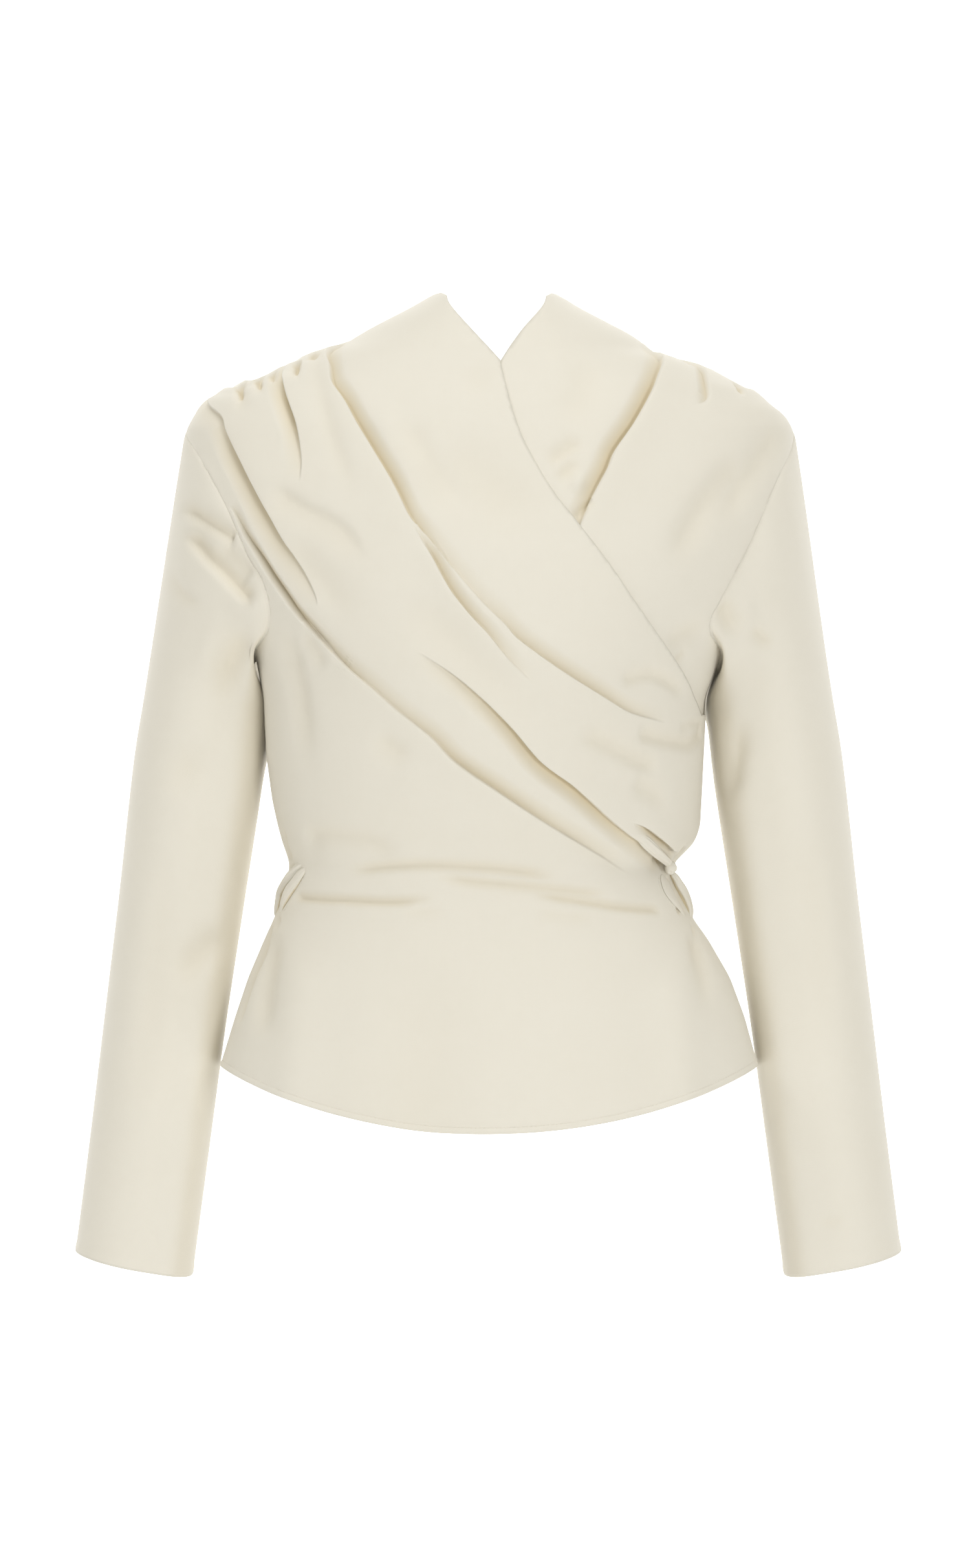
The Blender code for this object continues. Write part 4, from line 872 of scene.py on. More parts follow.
# ---------------------------------------------------------------------------------------------
# Left front
# The under front: the same cloth, collar and shoulder pleats. It lies inside the over front and ends
# plainly at the waist, where nothing shows of it.
# ---------------------------------------------------------------------------------------------
UNDER_FRONT_END = -314
UNDER_STEP = 2.9        # spacing of its points
UNDER_LAP = 1.9         # it lies this far inside the over front's free edge
UNDER_DEEP = 8.6        # and this much more where the over front covers it
UNDER_EASE = 45         # over this distance on either side of that edge
UNDER_EDGE = ((-118, UNDER_FRONT_END), (-122, -250), (-112, -190), (-98, -150), (-74, -115),
              (-49, -74), (-23, -33), (-4, 0), (8, 16), (22.5, 37), (39, 59))
LEFT_PEAK = ((39, 61), (43, 63.6), (46.5, 63))
LEFT_FRONT_PLEATS = (
    Pleat("shoulder pleat over the collar", 1, 2.4, 16, 6, 13, 0.7,
          ((118, 18, 0.6), (115, 8, 0.8), (110, -5, 1), (98, -27, 1), (85, -46, 1), (80, -58, 1),
           (70, -77, 0.8), (61, -98, 0.4))),
    Pleat("crescent pleat on the shoulder", 1, 1.4, 10, 4, 9, 0.4,
          ((146, 11, 0.8), (148, 2, 1), (148, -9, 0.7), (141, -14, 0))),
)
LEFT_FRONT_WAVES = (
    Wave("upper crumple in the collar", -3.0, 6, 5, 12, 12, ((37, -56), (50, -47), (64, -36))),
    Wave("lower crumple in the collar", -3.0, 5, 5, 12, 12, ((44, -68), (54, -58), (61, -50))),
    Wave("roll between the crumples", 3.0, 6, 6, 10, 10, ((52, -71), (60, -68), (67, -62))),
    Wave("inner edge of the shoulder pleat", -1.8, 1.6, 4, 8, 4, ((56, -92), (63, -85), (70, -78))),
    Wave("valley down the collar", -2.4, 12, 14, 20, 25, ((70, 20), (62, -10), (48, -36))),
    Wave("long trough beside the armhole", -3.6, 11, 11, 20, 30,
         ((200, -26), (188, -44), (177, -62), (161, -86), (153, -102))),
    Wave("trough below the shoulder", -3.4, 12, 10, 20, 30,
         ((177, -51), (156, -67), (136, -97), (122, -127))),
    Wave("pin mark beside the crescent", -3.0, 1.6, 2.2, 0, 3, ((129, 20.8), (131.4, 19), (133.4, 16.5))),
    Wave("pin mark at the shoulder's end", -4.0, 1.8, 2.4, 0, 4, ((170, 2.2), (171.5, -1), (172.2, -5))),
    Wave("dimple on the shoulder", -1.5, 3, 4, 4, 4, ((166, 3), (170, 0), (174, -2))),
    Wave("small crease on the shoulder", -1.0, 3, 3, 4, 4, ((131, 19), (136, 14))),
    Wave("trough beside the free edge", -2.4, 7, 9, 12, 16, ((119, -178), (133, -169), (148, -161))),
    Wave("short crease beside the free edge", -1.4, 2, 3.5, 5, 5, ((126, -188), (130, -184), (135, -179))),
)


def under_inset(flat):
    """How far the under front lies inside the body's surface, so that it clears the over front."""
    side = seam_line(-1, 1, UNDER_FRONT_END - 5, OVER_EDGE[0][1])
    covered = from_line(np.concatenate([side[:-1:4], over_edge[::2]]), flat)[0]
    return UNDER_LAP * ease(1 + covered / UNDER_EASE) + UNDER_DEEP * ease(covered / UNDER_EASE)


under_edge = smooth_path(unroll(-1, UNDER_EDGE[:1 - NECK_POINTS]), STEP)
under_collar = smooth_path(unroll(-1, UNDER_EDGE[-NECK_POINTS:]), STEP)
waist = (UNDER_EDGE[0], (0, UNDER_FRONT_END), (BEYOND_SIDE, UNDER_FRONT_END))
waist_edge = smooth_path(unroll(-1, waist), STEP)
LEFT_FRONT = Panel(-1, LEFT_FRONT_PLEATS, LEFT_FRONT_WAVES, under_inset, None, under_collar)
cut_panel("front_left_cloth", "front_left", LEFT_FRONT, joined(
    waist_edge[:-1],
    seam_line(-1, 1, UNDER_FRONT_END, UNDERARM),
    armhole_border(1, -1)[::-1],
    seam_line(-1, 1, SHOULDER_TIP, COLLAR_SEAM_TOP),
    unroll(-1, LEFT_PEAK)[::-1],
    under_collar[::-1],
    under_edge[::-1],
), UNDER_STEP)

# ---------------------------------------------------------------------------------------------
# Back
# One piece of the same cloth from the neck to the peplum's hem, sewn to both fronts. It blouses a
# little over the waist, and its peplum falls in soft flares.
# ---------------------------------------------------------------------------------------------
BACK_STEP = 2.8         # spacing of its points
BACK_NECK = ((43, 61), (43, 40), (36, 23), (20, 14), (6, 12), (-8, 14), (-24, 23), (-31, 42), (-30, 61))
BACK_WAVES = (
    Wave("drag from the left shoulder", -3.0, 16, 18, 30, 45, ((110, -20), (84, -90), (40, -160))),
    Wave("drag from the right shoulder", -3.0, 18, 16, 30, 45, ((-104, -20), (-86, -88), (-48, -170))),
    Wave("crease from the left armhole", -2.2, 7, 10, 20, 35, ((152, -120), (128, -160), (92, -196))),
    Wave("crease from the right armhole", -2.2, 10, 7, 20, 35, ((-154, -118), (-132, -156), (-98, -200))),
    Wave("hollow over the left blade", -2.5, 20, 18, 30, 30, ((134, -140), (112, -190), (80, -230))),
    Wave("hollow over the right blade", -2.5, 18, 20, 30, 30, ((-136, -138), (-118, -186), (-88, -232))),
    Wave("drape over the small of the back", -1.8, 10, 12, 30, 30, ((-70, -262), (-4, -276), (66, -264))),
    Wave("blouse over the waist", 3.2, 14, 12, 40, 40, ((-110, -304), (-40, -310), (40, -308), (108, -304))),
    Wave("upper waist crease", -3.0, 4, 3, 25, 30, ((-112, -326), (-60, -330), (-4, -327))),
    Wave("middle waist crease", -3.0, 3, 4, 30, 25, ((-20, -340), (40, -335), (112, -328))),
    Wave("lower waist crease", -2.6, 4, 3, 30, 30, ((-100, -350), (-40, -354), (24, -352), (92, -346))),
    Wave("right flare of the peplum", 5, 22, 22, 50, 0, ((-88, -376), (-96, -430), (-100, -485))),
    Wave("middle flare of the peplum", 4, 26, 26, 50, 0, ((6, -380), (4, -440), (2, -495))),
    Wave("left flare of the peplum", 5, 22, 22, 50, 0, ((92, -374), (100, -430), (106, -485))),
    Wave("right trough of the peplum", -4, 20, 20, 50, 0, ((-44, -376), (-48, -430), (-50, -490))),
    Wave("left trough of the peplum", -4, 20, 20, 50, 0, ((50, -376), (54, -430), (56, -490))),
)
back_neck = smooth_path(unroll(1, BACK_NECK), STEP)
BACK = Panel(1, (), BACK_WAVES, None, HEM_BACK, back_neck[::2])
cut_panel("back_cloth", "back", BACK, joined(
    hem_line(1, HEM_BACK),
    seam_line(1, 1, HEM_SIDE, UNDERARM),
    armhole_border(1, 1)[::-1],
    seam_line(1, 1, SHOULDER_TIP, COLLAR_SEAM_TOP),
    unroll(1, LEFT_PEAK)[::-1],
    back_neck,
    unroll(1, RIGHT_PEAK),
    seam_line(1, -1, SHOULDER_TIP, COLLAR_SEAM_TOP)[::-1],
    armhole_border(-1, 1),
    seam_line(1, -1, HEM_SIDE, UNDERARM)[::-1],
), BACK_STEP)

# ---------------------------------------------------------------------------------------------
# Sleeves
# Two plain long sleeves of the same cloth, set into the armholes. Each crumples below its cap and at
# the elbow, and its cuff is turned up and stitched.
# ---------------------------------------------------------------------------------------------
SLEEVE_ROWS = 178       # rings along a sleeve below its cap
CAP_ROWS = 80           # rings along the sleeve's cap
CAP_OUT = 0.08          # how strongly all of the cap leaves the armhole sideways
CAP_SPREAD = 1.9        # and how much more its lower part does
CAP_FALL = 0.45         # how strongly all of the cap leaves it downwards
CUFF_DIP = 4.5          # the cuff hangs this much lower in front and higher behind
CUFF_STITCH = 5.2       # the cuff's stitches lie this far above its edge
TUCK = 1.3              # the cap's edge lies this far under the edge of the body's cloth
TUCK_DEEP = 1.15        # and this far under its outer side
TUCK_RISE = 3.2         # it comes up to it over this distance
CUFF_RAISE = 0.35
CUFF_PUCKERS = (23, 14)                 # puckers round a cuff, in two mixed waves
INSIDE_SQUARE = 3.2     # the side towards the body is squarer than an ellipse, whose value is 2
INSIDE_BLEND = 1.5      # how quickly it becomes so round the sleeve
INSIDE_ARM_SHADE = 0.20       # how much painted shade lies on the side towards the body, which the body shades
INSIDE_SHADE_FROM = 0.2       # the painted shade starts where the cloth has turned this far that way
FACE_BLEND = 1.6        # how quickly a fold or that painted shade comes in round the sleeve
PRESS_TURN = 3.35       # each sleeve is pressed against the body at this turn round it
PRESS_SPREAD = 0.5
Ring = namedtuple("Ring", "across back height width depth slope")
SLEEVE = (
    Ring(192.8, 33, -215, 42.3, 54, 8),
    Ring(198.8, 31, -262, 43.6, 51, 8),
    Ring(210, 29, -348, 41.8, 46.5, 8),
    Ring(220.8, 30, -428, 40.6, 43.5, 8),
    Ring(230.8, 26, -508, 40, 41, 9),
    Ring(241.6, 18, -594, 39.7, 38.5, 10.5),
)
# Folds across the front (face -1) or the back (face +1) of a sleeve, as places seen from the front.
SleeveWave = namedtuple("SleeveWave", "name face height left right start end route")
RIGHT_SLEEVE_WAVES = (
    SleeveWave("upper crease of the cap", -1, -4.4, 6.5, 3.0, 10, 3,
               ((-209, -81), (-195, -90), (-182, -98), (-170, -105))),
    SleeveWave("thin crease under it", -1, -1.2, 3.5, 2.6, 8, 4,
               ((-204, -90), (-192, -97), (-180, -104), (-171, -110))),
    SleeveWave("lower crease of the cap", -1, -5.8, 9, 3.2, 12, 12,
               ((-206, -97), (-195, -112), (-180, -127), (-166, -142), (-156, -150))),
    SleeveWave("hollow between the creases", -1, -3.6, 8, 8, 10, 6,
               ((-184, -106), (-170, -119), (-159, -132))),
    SleeveWave("faint crease of the cap", -1, -1.6, 4, 6, 12, 14, ((-217, -123), (-206, -141), (-191, -150))),
    SleeveWave("hollow below the cap", -1, -5.4, 9, 9, 22, 30,
               ((-163, -160), (-168, -176), (-174, -192), (-182, -218))),
    SleeveWave("roll below the cap", -1, 2.0, 7, 7, 16, 20, ((-178, -150), (-188, -172), (-196, -200))),
    SleeveWave("long trough", -1, -3.0, 11, 12, 30, 40, ((-190, -236), (-205, -262), (-214, -289))),
    SleeveWave("trough at the elbow", -1, -4.4, 9, 12, 25, 30, ((-169, -363), (-192, -384), (-214, -409))),
    SleeveWave("dimple above the cuff", -1, -1.0, 8, 8, 8, 8, ((-222, -575), (-230, -580))),
    SleeveWave("long fall along the arm", -1, -1.8, 14, 10, 60, 80,
               ((-216, -300), (-226, -400), (-238, -500))),
    SleeveWave("back trough below the cap", 1, -4, 10, 12, 25, 35,
               ((-170, -150), (-184, -185), (-200, -215))),
    SleeveWave("back trough at the elbow", 1, -3.0, 10, 12, 25, 30,
               ((-180, -330), (-205, -345), (-236, -372))),
    SleeveWave("back crease at the elbow", 1, -2.0, 5, 8, 15, 20, ((-184, -350), (-206, -368), (-226, -392))),
)
LEFT_SLEEVE_WAVES = (
    SleeveWave("hollow beside the armhole", -1, -4.2, 6, 8, 10, 18, ((155, -142), (162, -158), (166, -175))),
    SleeveWave("trough inside the arm", -1, -4.6, 8, 8, 28, 22,
               ((173, -219), (170, -236), (168, -251), (164, -274), (160, -285))),
    SleeveWave("short crease", -1, -2.4, 4, 6, 10, 10, ((175, -161), (184, -169), (193, -178))),
    SleeveWave("roll beside the armhole", -1, 1.2, 6, 6, 12, 16, ((170, -140), (176, -160), (180, -184))),
    SleeveWave("long trough to the cuff", -1, -3.0, 10, 12, 50, 60, ((182, -446), (200, -496), (211, -525))),
    SleeveWave("crease above the cuff", -1, -0.8, 4, 4, 8, 8, ((222, -566), (243, -565))),
    SleeveWave("long fall along the arm", -1, -1.8, 10, 14, 60, 80, ((214, -290), (224, -380), (232, -470))),
    SleeveWave("back trough below the cap", 1, -4, 12, 10, 25, 35, ((172, -152), (186, -184), (204, -220))),
    SleeveWave("back trough at the elbow", 1, -3.0, 12, 10, 25, 30, ((182, -336), (208, -352), (238, -370))),
    SleeveWave("back crease at the elbow", 1, -2.0, 8, 5, 15, 20, ((186, -356), (206, -372), (228, -398))),
)


def sleeve_ring(side, ring):
    """Points of one sleeve ring: shoulder side first, then round the front, the inside and the back."""
    turn = np.linspace(0, 2 * np.pi, SLEEVE_COLUMNS, endpoint=False)
    slope = math.radians(ring.slope)
    square = np.abs(np.cos(turn)) ** INSIDE_SQUARE + np.abs(np.sin(turn)) ** INSIDE_SQUARE
    square = 1 + (square ** (-1 / INSIDE_SQUARE) - 1) * ease(-INSIDE_BLEND * np.cos(turn))
    outward = np.cos(turn) * square * ring.width
    x = ring.across + outward * math.cos(slope)
    y = ring.back - np.sin(turn) * square * ring.depth
    z = ring.height + outward * math.sin(slope)
    return np.stack([side * x, y, z], axis=1)


def armhole_points(side, into=0.0, deep=0.0):
    """Armhole points in the order of a sleeve ring, moved into the panels and under their outer side."""
    rows = []
    for face in (-1, 1):
        flat = armhole_border(side, face, into)
        angles = roll(face, flat)
        rows.append(surface(face, angles, flat[:, 1]) - surface_normal(face, angles, flat[:, 1]) * deep)
    return np.concatenate([rows[0], rows[1][-2:0:-1]])


def sleeve_rows(side):
    """Rings of a sleeve from the armhole to the cuff, and the distance of each along the sleeve."""
    start = armhole_points(side)
    end = sleeve_ring(side, SLEEVE[0])
    turn = np.linspace(0, 2 * np.pi, SLEEVE_COLUMNS, endpoint=False)
    across = side * (CAP_OUT + CAP_SPREAD * (1 - np.cos(turn)) / 2)
    lean = np.stack([across, np.zeros_like(turn), np.full_like(turn, -CAP_FALL)], axis=1)
    direction = (end - start) / np.linalg.norm(end - start, axis=1, keepdims=True) + lean
    direction /= np.linalg.norm(direction, axis=1, keepdims=True)
    after = sleeve_ring(side, SLEEVE[1]) - end
    after /= np.linalg.norm(after, axis=1, keepdims=True)
    reach = np.linalg.norm(end - start, axis=1, keepdims=True)
    rings = [armhole_points(side, TUCK, TUCK_DEEP)]
    for t in np.linspace(0, 1, CAP_ROWS + 1)[1:]:
        rings.append((2 * t ** 3 - 3 * t ** 2 + 1) * start + (t ** 3 - 2 * t ** 2 + t) * reach * direction
                     + (3 * t ** 2 - 2 * t ** 3) * end + (t ** 3 - t ** 2) * reach * after)
    marks = np.array([ring.height for ring in SLEEVE], float)[::-1]
    table = np.array(SLEEVE)[::-1]
    smooth = smooth_path(table[:, [2, 0, 1, 3, 4, 5]], 1.0)
    for height in np.linspace(marks[-1], marks[0], SLEEVE_ROWS + 1)[1:]:
        across, back, *size = [np.interp(height, smooth[:, 0], smooth[:, k]) for k in range(1, 6)]
        ring = Ring(across, back, height, *size)
        points = sleeve_ring(side, ring)
        share = ease((marks[-1] - height) / (marks[-1] - marks[0]))
        points[:, 2] += CUFF_DIP * share * (points[:, 1] - ring.back) / ring.depth
        rings.append(points)
    return np.array(rings)


def grid_normals(points):
    """Unit normals of a grid of points that closes round its second axis."""
    down = np.gradient(points, axis=0)
    around = np.roll(points, -1, axis=1) - np.roll(points, 1, axis=1)
    normal = np.cross(down, around)
    return normal / np.linalg.norm(normal, axis=2, keepdims=True)


def pressed(rings, side, height, reach, depth):
    """The rings with the sleeve's inner side pressed towards the body, behind the side seam."""
    turn = np.linspace(0, 2 * np.pi, SLEEVE_COLUMNS, endpoint=False)
    around = np.exp(-((turn - PRESS_TURN) / PRESS_SPREAD) ** 2)
    rings[..., 0] -= side * depth * around * np.exp(-((rings[..., 2] - height) / reach) ** 2)
    return rings


def sew_sleeve(name, node, side, waves, press):
    """A sleeve with its folds and its turned cuff. Returns its places, their normals and their
    distances above the cuff's edge."""
    rings = pressed(sleeve_rows(side), side, *press)
    normals = grid_normals(rings) * -side
    points = rings.reshape(-1, 3)
    outward = normals.reshape(-1, 3)
    height, painted_shade = np.zeros(len(points)), np.zeros(len(points))
    for wave in waves:
        line = smooth_path(wave.route, CURVE_STEP)
        distance, along, length, _ = from_line(line, points[:, [0, 2]], 3 * max(wave.left, wave.right))
        width = np.where(distance > 0, wave.left, wave.right)
        facing = ease(outward[:, 1] * wave.face * FACE_BLEND)
        lift = wave.height * fade(wave, along, length) * np.exp(-(distance / width) ** 2) * facing
        height += lift
        # Painted shade in the troughs of the sleeve's folds.
        painted_shade = np.maximum(painted_shade, -lift / PAINTED_SHADE_WAVE * PAINTED_SHADE_WIDE / (wave.left + wave.right))
    # Painted shade on the side towards the body, where the body shades the sleeve.
    inward = outward[:, 0] * -side
    painted_shade = np.maximum(painted_shade, INSIDE_ARM_SHADE * ease(inward * FACE_BLEND - INSIDE_SHADE_FROM))
    steps = np.linalg.norm(np.diff(rings, axis=0), axis=2)
    above = np.concatenate([np.cumsum(steps[::-1], axis=0)[::-1], np.zeros((1, SLEEVE_COLUMNS))]).ravel()
    below = np.concatenate([np.zeros((1, SLEEVE_COLUMNS)), np.cumsum(steps, axis=0)]).ravel()
    height *= ease(below / SEAM_CALM)
    height -= TUCK_DEEP * np.exp(-(below / TUCK_RISE) ** 2) * (below > 0)
    turns = np.tile(np.linspace(0, 2 * np.pi, SLEEVE_COLUMNS, endpoint=False), len(rings))
    height += turned_edge(above, CUFF_STITCH, CUFF_RAISE, [turns * number for number in CUFF_PUCKERS])
    outer = points + outward * height[:, None]
    faces = []
    for row in range(len(rings) - 1):
        first = row * SLEEVE_COLUMNS
        for k in range(SLEEVE_COLUMNS):
            a, b = first + k, first + (k + 1) % SLEEVE_COLUMNS
            faces.append((a, a + SLEEVE_COLUMNS, b + SLEEVE_COLUMNS, b) if side > 0
                         else (a, b, b + SLEEVE_COLUMNS, a + SLEEVE_COLUMNS))
    girth = np.linalg.norm(np.roll(rings, -1, axis=1) - rings, axis=2).sum(axis=1).mean()
    flat = np.stack([turns / (2 * np.pi) * girth, -below], axis=1)
    piece = new_piece(name, outer, faces, SLEEVE_CLOTH, flat, painted_shade)
    give_wall(piece)
    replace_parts(piece, node)
    return outer.reshape(rings.shape), outward.reshape(rings.shape), above.reshape(rings.shape[:2])


SLEEVE_CLOTH = ivory_cloth("sleeve_cloth")
right_sleeve = sew_sleeve("sleeve_right_cloth", "sleeve_right", -1, RIGHT_SLEEVE_WAVES, (-222, 24, 6.5))
left_sleeve = sew_sleeve("sleeve_left_cloth", "sleeve_left", 1, LEFT_SLEEVE_WAVES, (-199, 20, 7.5))

# ---------------------------------------------------------------------------------------------
# Waist ties
# Narrow straps of the same cloth. On the wearer's right two strands come out of a stitched slit. On
# the left a strap leaves the last fold of the front, is knotted, and its strands enter a slit.
# ---------------------------------------------------------------------------------------------
# A strap's route: place across and height, its width and thickness, and how far its middle stands off
# the plain front. Its ends sink into the cloth.
Strap = namedtuple("Strap", "name node gathers route")
STRAPS = (
    Strap("tie_right_outer_cloth", "tie_right_outer_strand", 2,
          ((-125.5, -322.5, 3, 1.6, -1.2), (-129.5, -326.5, 6, 4, 0.3), (-133.2, -332, 7.5, 5.2, 1.6),
           (-137, -338, 7.5, 5, 2.2), (-139.4, -343.5, 8.5, 4.6, 2.3), (-141.1, -349, 8, 4.2, 1.8),
           (-143.5, -355, 6, 3.4, 0.3), (-145.5, -359.5, 2, 1.6, -1.6))),
    Strap("tie_right_inner_cloth", "tie_right_inner_strand", 1,
          ((-123.5, -325, 2.5, 1.4, -1.0), (-126.5, -330, 6.5, 3.4, 0.4), (-129.8, -335.5, 8, 4.2, 1.0),
           (-133.4, -341, 8.5, 4.6, 1.4), (-136.5, -346.5, 8, 4.2, 1.2), (-139.4, -352, 6, 3, 0.4),
           (-141.5, -357.5, 2, 1.4, -1.4))),
    Strap("tie_left_strap_cloth", "tie_left_strap", 3,
          ((100, -303, 4, 1.2, -1.0), (105, -307.6, 7, 2.2, 0.5), (110, -312, 7, 2.8, 1.6),
           (114.8, -316, 6.2, 3.3, 2.5), (118.8, -319.6, 5.4, 3.8, 3.2), (121, -322.3, 4.5, 3.8, 3.4))),
    Strap("tie_left_outer_cloth", "tie_left_outer_strand", 2,
          ((122.3, -328.5, 4, 3, 1.0), (124.2, -332.5, 7, 5, 2.0), (126.8, -338, 8.5, 6.2, 2.2),
           (129.9, -343.5, 9, 6.4, 2.3), (133, -349.5, 8.5, 6, 1.8), (136, -355.5, 6.5, 4.6, 0.8),
           (138.3, -361, 3, 2, -1.2))),
    Strap("tie_left_inner_cloth", "tie_left_inner_strand", 1,
          ((118.5, -329.5, 4, 1, -0.4), (118.8, -334, 9, 1.6, 0), (120.8, -339.5, 11, 1.8, 0),
           (124.5, -345.5, 10, 1.8, 0), (129, -352, 7, 1.5, -0.1), (133.5, -358.5, 3, 1, -0.6))),
)
STRAP_SIDES = 28
STRAP_STEP = 0.8
GATHER = 0.13           # depth of a strap's gathers, as a share of its size
FINE_GATHER = 0.05      # and of seven finer ones
FINE_GATHERS = 7
END_TAPER = 14.0        # how quickly a strap grows from its ends
END_LEFT = 0.08
STRAP_SHADE_TURN = 1.4         # how quickly painted shade comes in on a strap's underside
STRAP_SHADE_FROM = 0.3
TIE_CLOTH = ivory_cloth("tie_cloth")


def closed_tube(rings):
    """Faces of a closed tube of rings with the same number of points."""
    count = rings.shape[1]
    faces = []
    for row in range(len(rings) - 1):
        for k in range(count):
            a, b = row * count + k, row * count + (k + 1) % count
            faces.append((a, b, b + count, a + count))
    return faces + [tuple(reversed(range(count))), tuple(range((len(rings) - 1) * count, len(rings) * count))]


CUT_ROUND = 0.5         # spacing in the cut of the points round a closed piece
CUT_ALONG = 1.0         # and along it


def closed_piece(name, rings, painted_shade=None):
    """A smooth closed piece of the ties' cloth, whose cut is its turn and its length."""
    number = np.arange(rings.shape[0] * rings.shape[1])
    flat = np.stack([number % rings.shape[1] * CUT_ROUND, number // rings.shape[1] * CUT_ALONG], axis=1)
    return new_piece(name, rings.reshape(-1, 3), closed_tube(rings), TIE_CLOTH, flat, painted_shade)


def lay_strap(strap):
    """A soft gathered strap, laid along its route on the front."""
    route = np.array(strap.route, float)
    line = smooth_path(np.concatenate([unroll(-1, route[:, :2]), route[:, 2:]], axis=1), STRAP_STEP)
    flat, width, thick, lift = line[:, :2], line[:, 2], line[:, 3], line[:, 4]
    angles = roll(-1, flat)
    normal = surface_normal(-1, angles, flat[:, 1])
    centre = surface(-1, angles, flat[:, 1]) + normal * lift[:, None]
    across = np.cross(normal, np.gradient(centre, axis=0))
    across /= np.linalg.norm(across, axis=1, keepdims=True)
    share = np.linspace(0, 1, len(flat))[:, None]
    turn = np.linspace(0, 2 * np.pi, STRAP_SIDES, endpoint=False)[None]
    gathers = 1 + GATHER * np.cos(turn * 2 * strap.gathers + share * 2.5)
    gathers += FINE_GATHER * np.cos(turn * FINE_GATHERS - share * 4)
    end = np.sqrt(np.clip(np.minimum(share, 1 - share) * END_TAPER, END_LEFT, 1)) * gathers / 2
    ring = (np.cos(turn) * width[:, None] * end)[..., None] * across[:, None]
    ring = ring + (np.sin(turn) * thick[:, None] * end)[..., None] * normal[:, None]
    # Painted shade on the strap's underside, which faces the cloth below it.
    underside_shade = np.tile(ease(STRAP_SHADE_FROM - STRAP_SHADE_TURN * np.sin(turn)), (len(flat), 1))
    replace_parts(closed_piece(strap.name, centre[:, None] + ring, underside_shade), strap.node)


for strap in STRAPS:
    lay_strap(strap)

KNOT_PLACE = (118.8, -325)
KNOT_SIZE = (4.4, 4.2, 4.7)             # half its width, depth and height
KNOT_LIFT = 4.8         # its middle stands this far off the plain front
KNOT_SIDES = 40
KNOT_RINGS = 26
KNOT_POLE = 0.06        # its first and last ring lie at this angle from its poles
KNOT_GATHER = 0.05      # depth of its three gathers, as a share of its size
# Its hollows, at angles from its top and round it: depth as a share, and how far each reaches. The
# first two run all the way round, where the strap is wound over, and the last is a dimple.
KnotHollow = namedtuple("KnotHollow", "polar turn depth tall wide")
KNOT_HOLLOWS = (KnotHollow(1.0, 0, 0.10, 0.16, None), KnotHollow(2.1, 0, 0.08, 0.14, None),
                KnotHollow(2.3, 2.6, 0.4, 0.28, 0.4))


def tie_knot():
    """The round knot: a ball of gathered cloth with the turn of the strap wound over it."""
    flat = unroll(-1, [KNOT_PLACE])
    angle = roll(-1, flat)
    normal = surface_normal(-1, angle, flat[:, 1])[0]
    centre = surface(-1, angle, flat[:, 1])[0] + normal * KNOT_LIFT
    across = np.cross((0, 0, 1), normal)
    across /= np.linalg.norm(across)
    upward = np.cross(normal, across)
    turn = np.linspace(0, 2 * np.pi, KNOT_SIDES, endpoint=False)
    rings = []
    for polar in np.linspace(KNOT_POLE, np.pi - KNOT_POLE, KNOT_RINGS):
        size = 1 + KNOT_GATHER * np.cos(turn * 3 + polar * 2)
        for hollow in KNOT_HOLLOWS:
            away = ((polar - hollow.polar) / hollow.tall) ** 2
            if hollow.wide is not None:
                away = away + ((turn - hollow.turn) / hollow.wide) ** 2
            size -= hollow.depth * np.exp(-away)
        size *= np.sin(polar)
        rings.append(centre + (np.cos(turn) * size)[:, None] * across * KNOT_SIZE[0]
                     + (np.sin(turn) * size)[:, None] * normal * KNOT_SIZE[1]
                     + math.cos(polar) * upward * KNOT_SIZE[2])
    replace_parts(closed_piece("tie_left_knot_cloth", np.array(rings)), "tie_left_knot")


tie_knot()

# ---------------------------------------------------------------------------------------------
# Stitching
# Short machine stitches of ivory cotton thread, sunk a little into the cloth: along the hem, round
# both cuffs and beside the two slits of the ties.
# ---------------------------------------------------------------------------------------------
STITCH = 2.3            # length of one stitch
STITCH_APART = 0.55     # gap between two stitches
THREAD = 0.17           # the thread's radius
THREAD_SIDES = 6
# One stitch from end to end: share of its length, height over the cloth, and size of the thread.
STITCH_FORM = ((0, -0.35, 0.5), (0.16, 0.04, 1.0), (0.5, 0.16, 1.05), (0.84, 0.04, 1.0), (1, -0.35, 0.5))
THREAD_CLOTH = ivory_cloth("thread", light=(0.83, 0.79, 0.71, 1.0), shade=(0.80, 0.755, 0.66, 1.0))


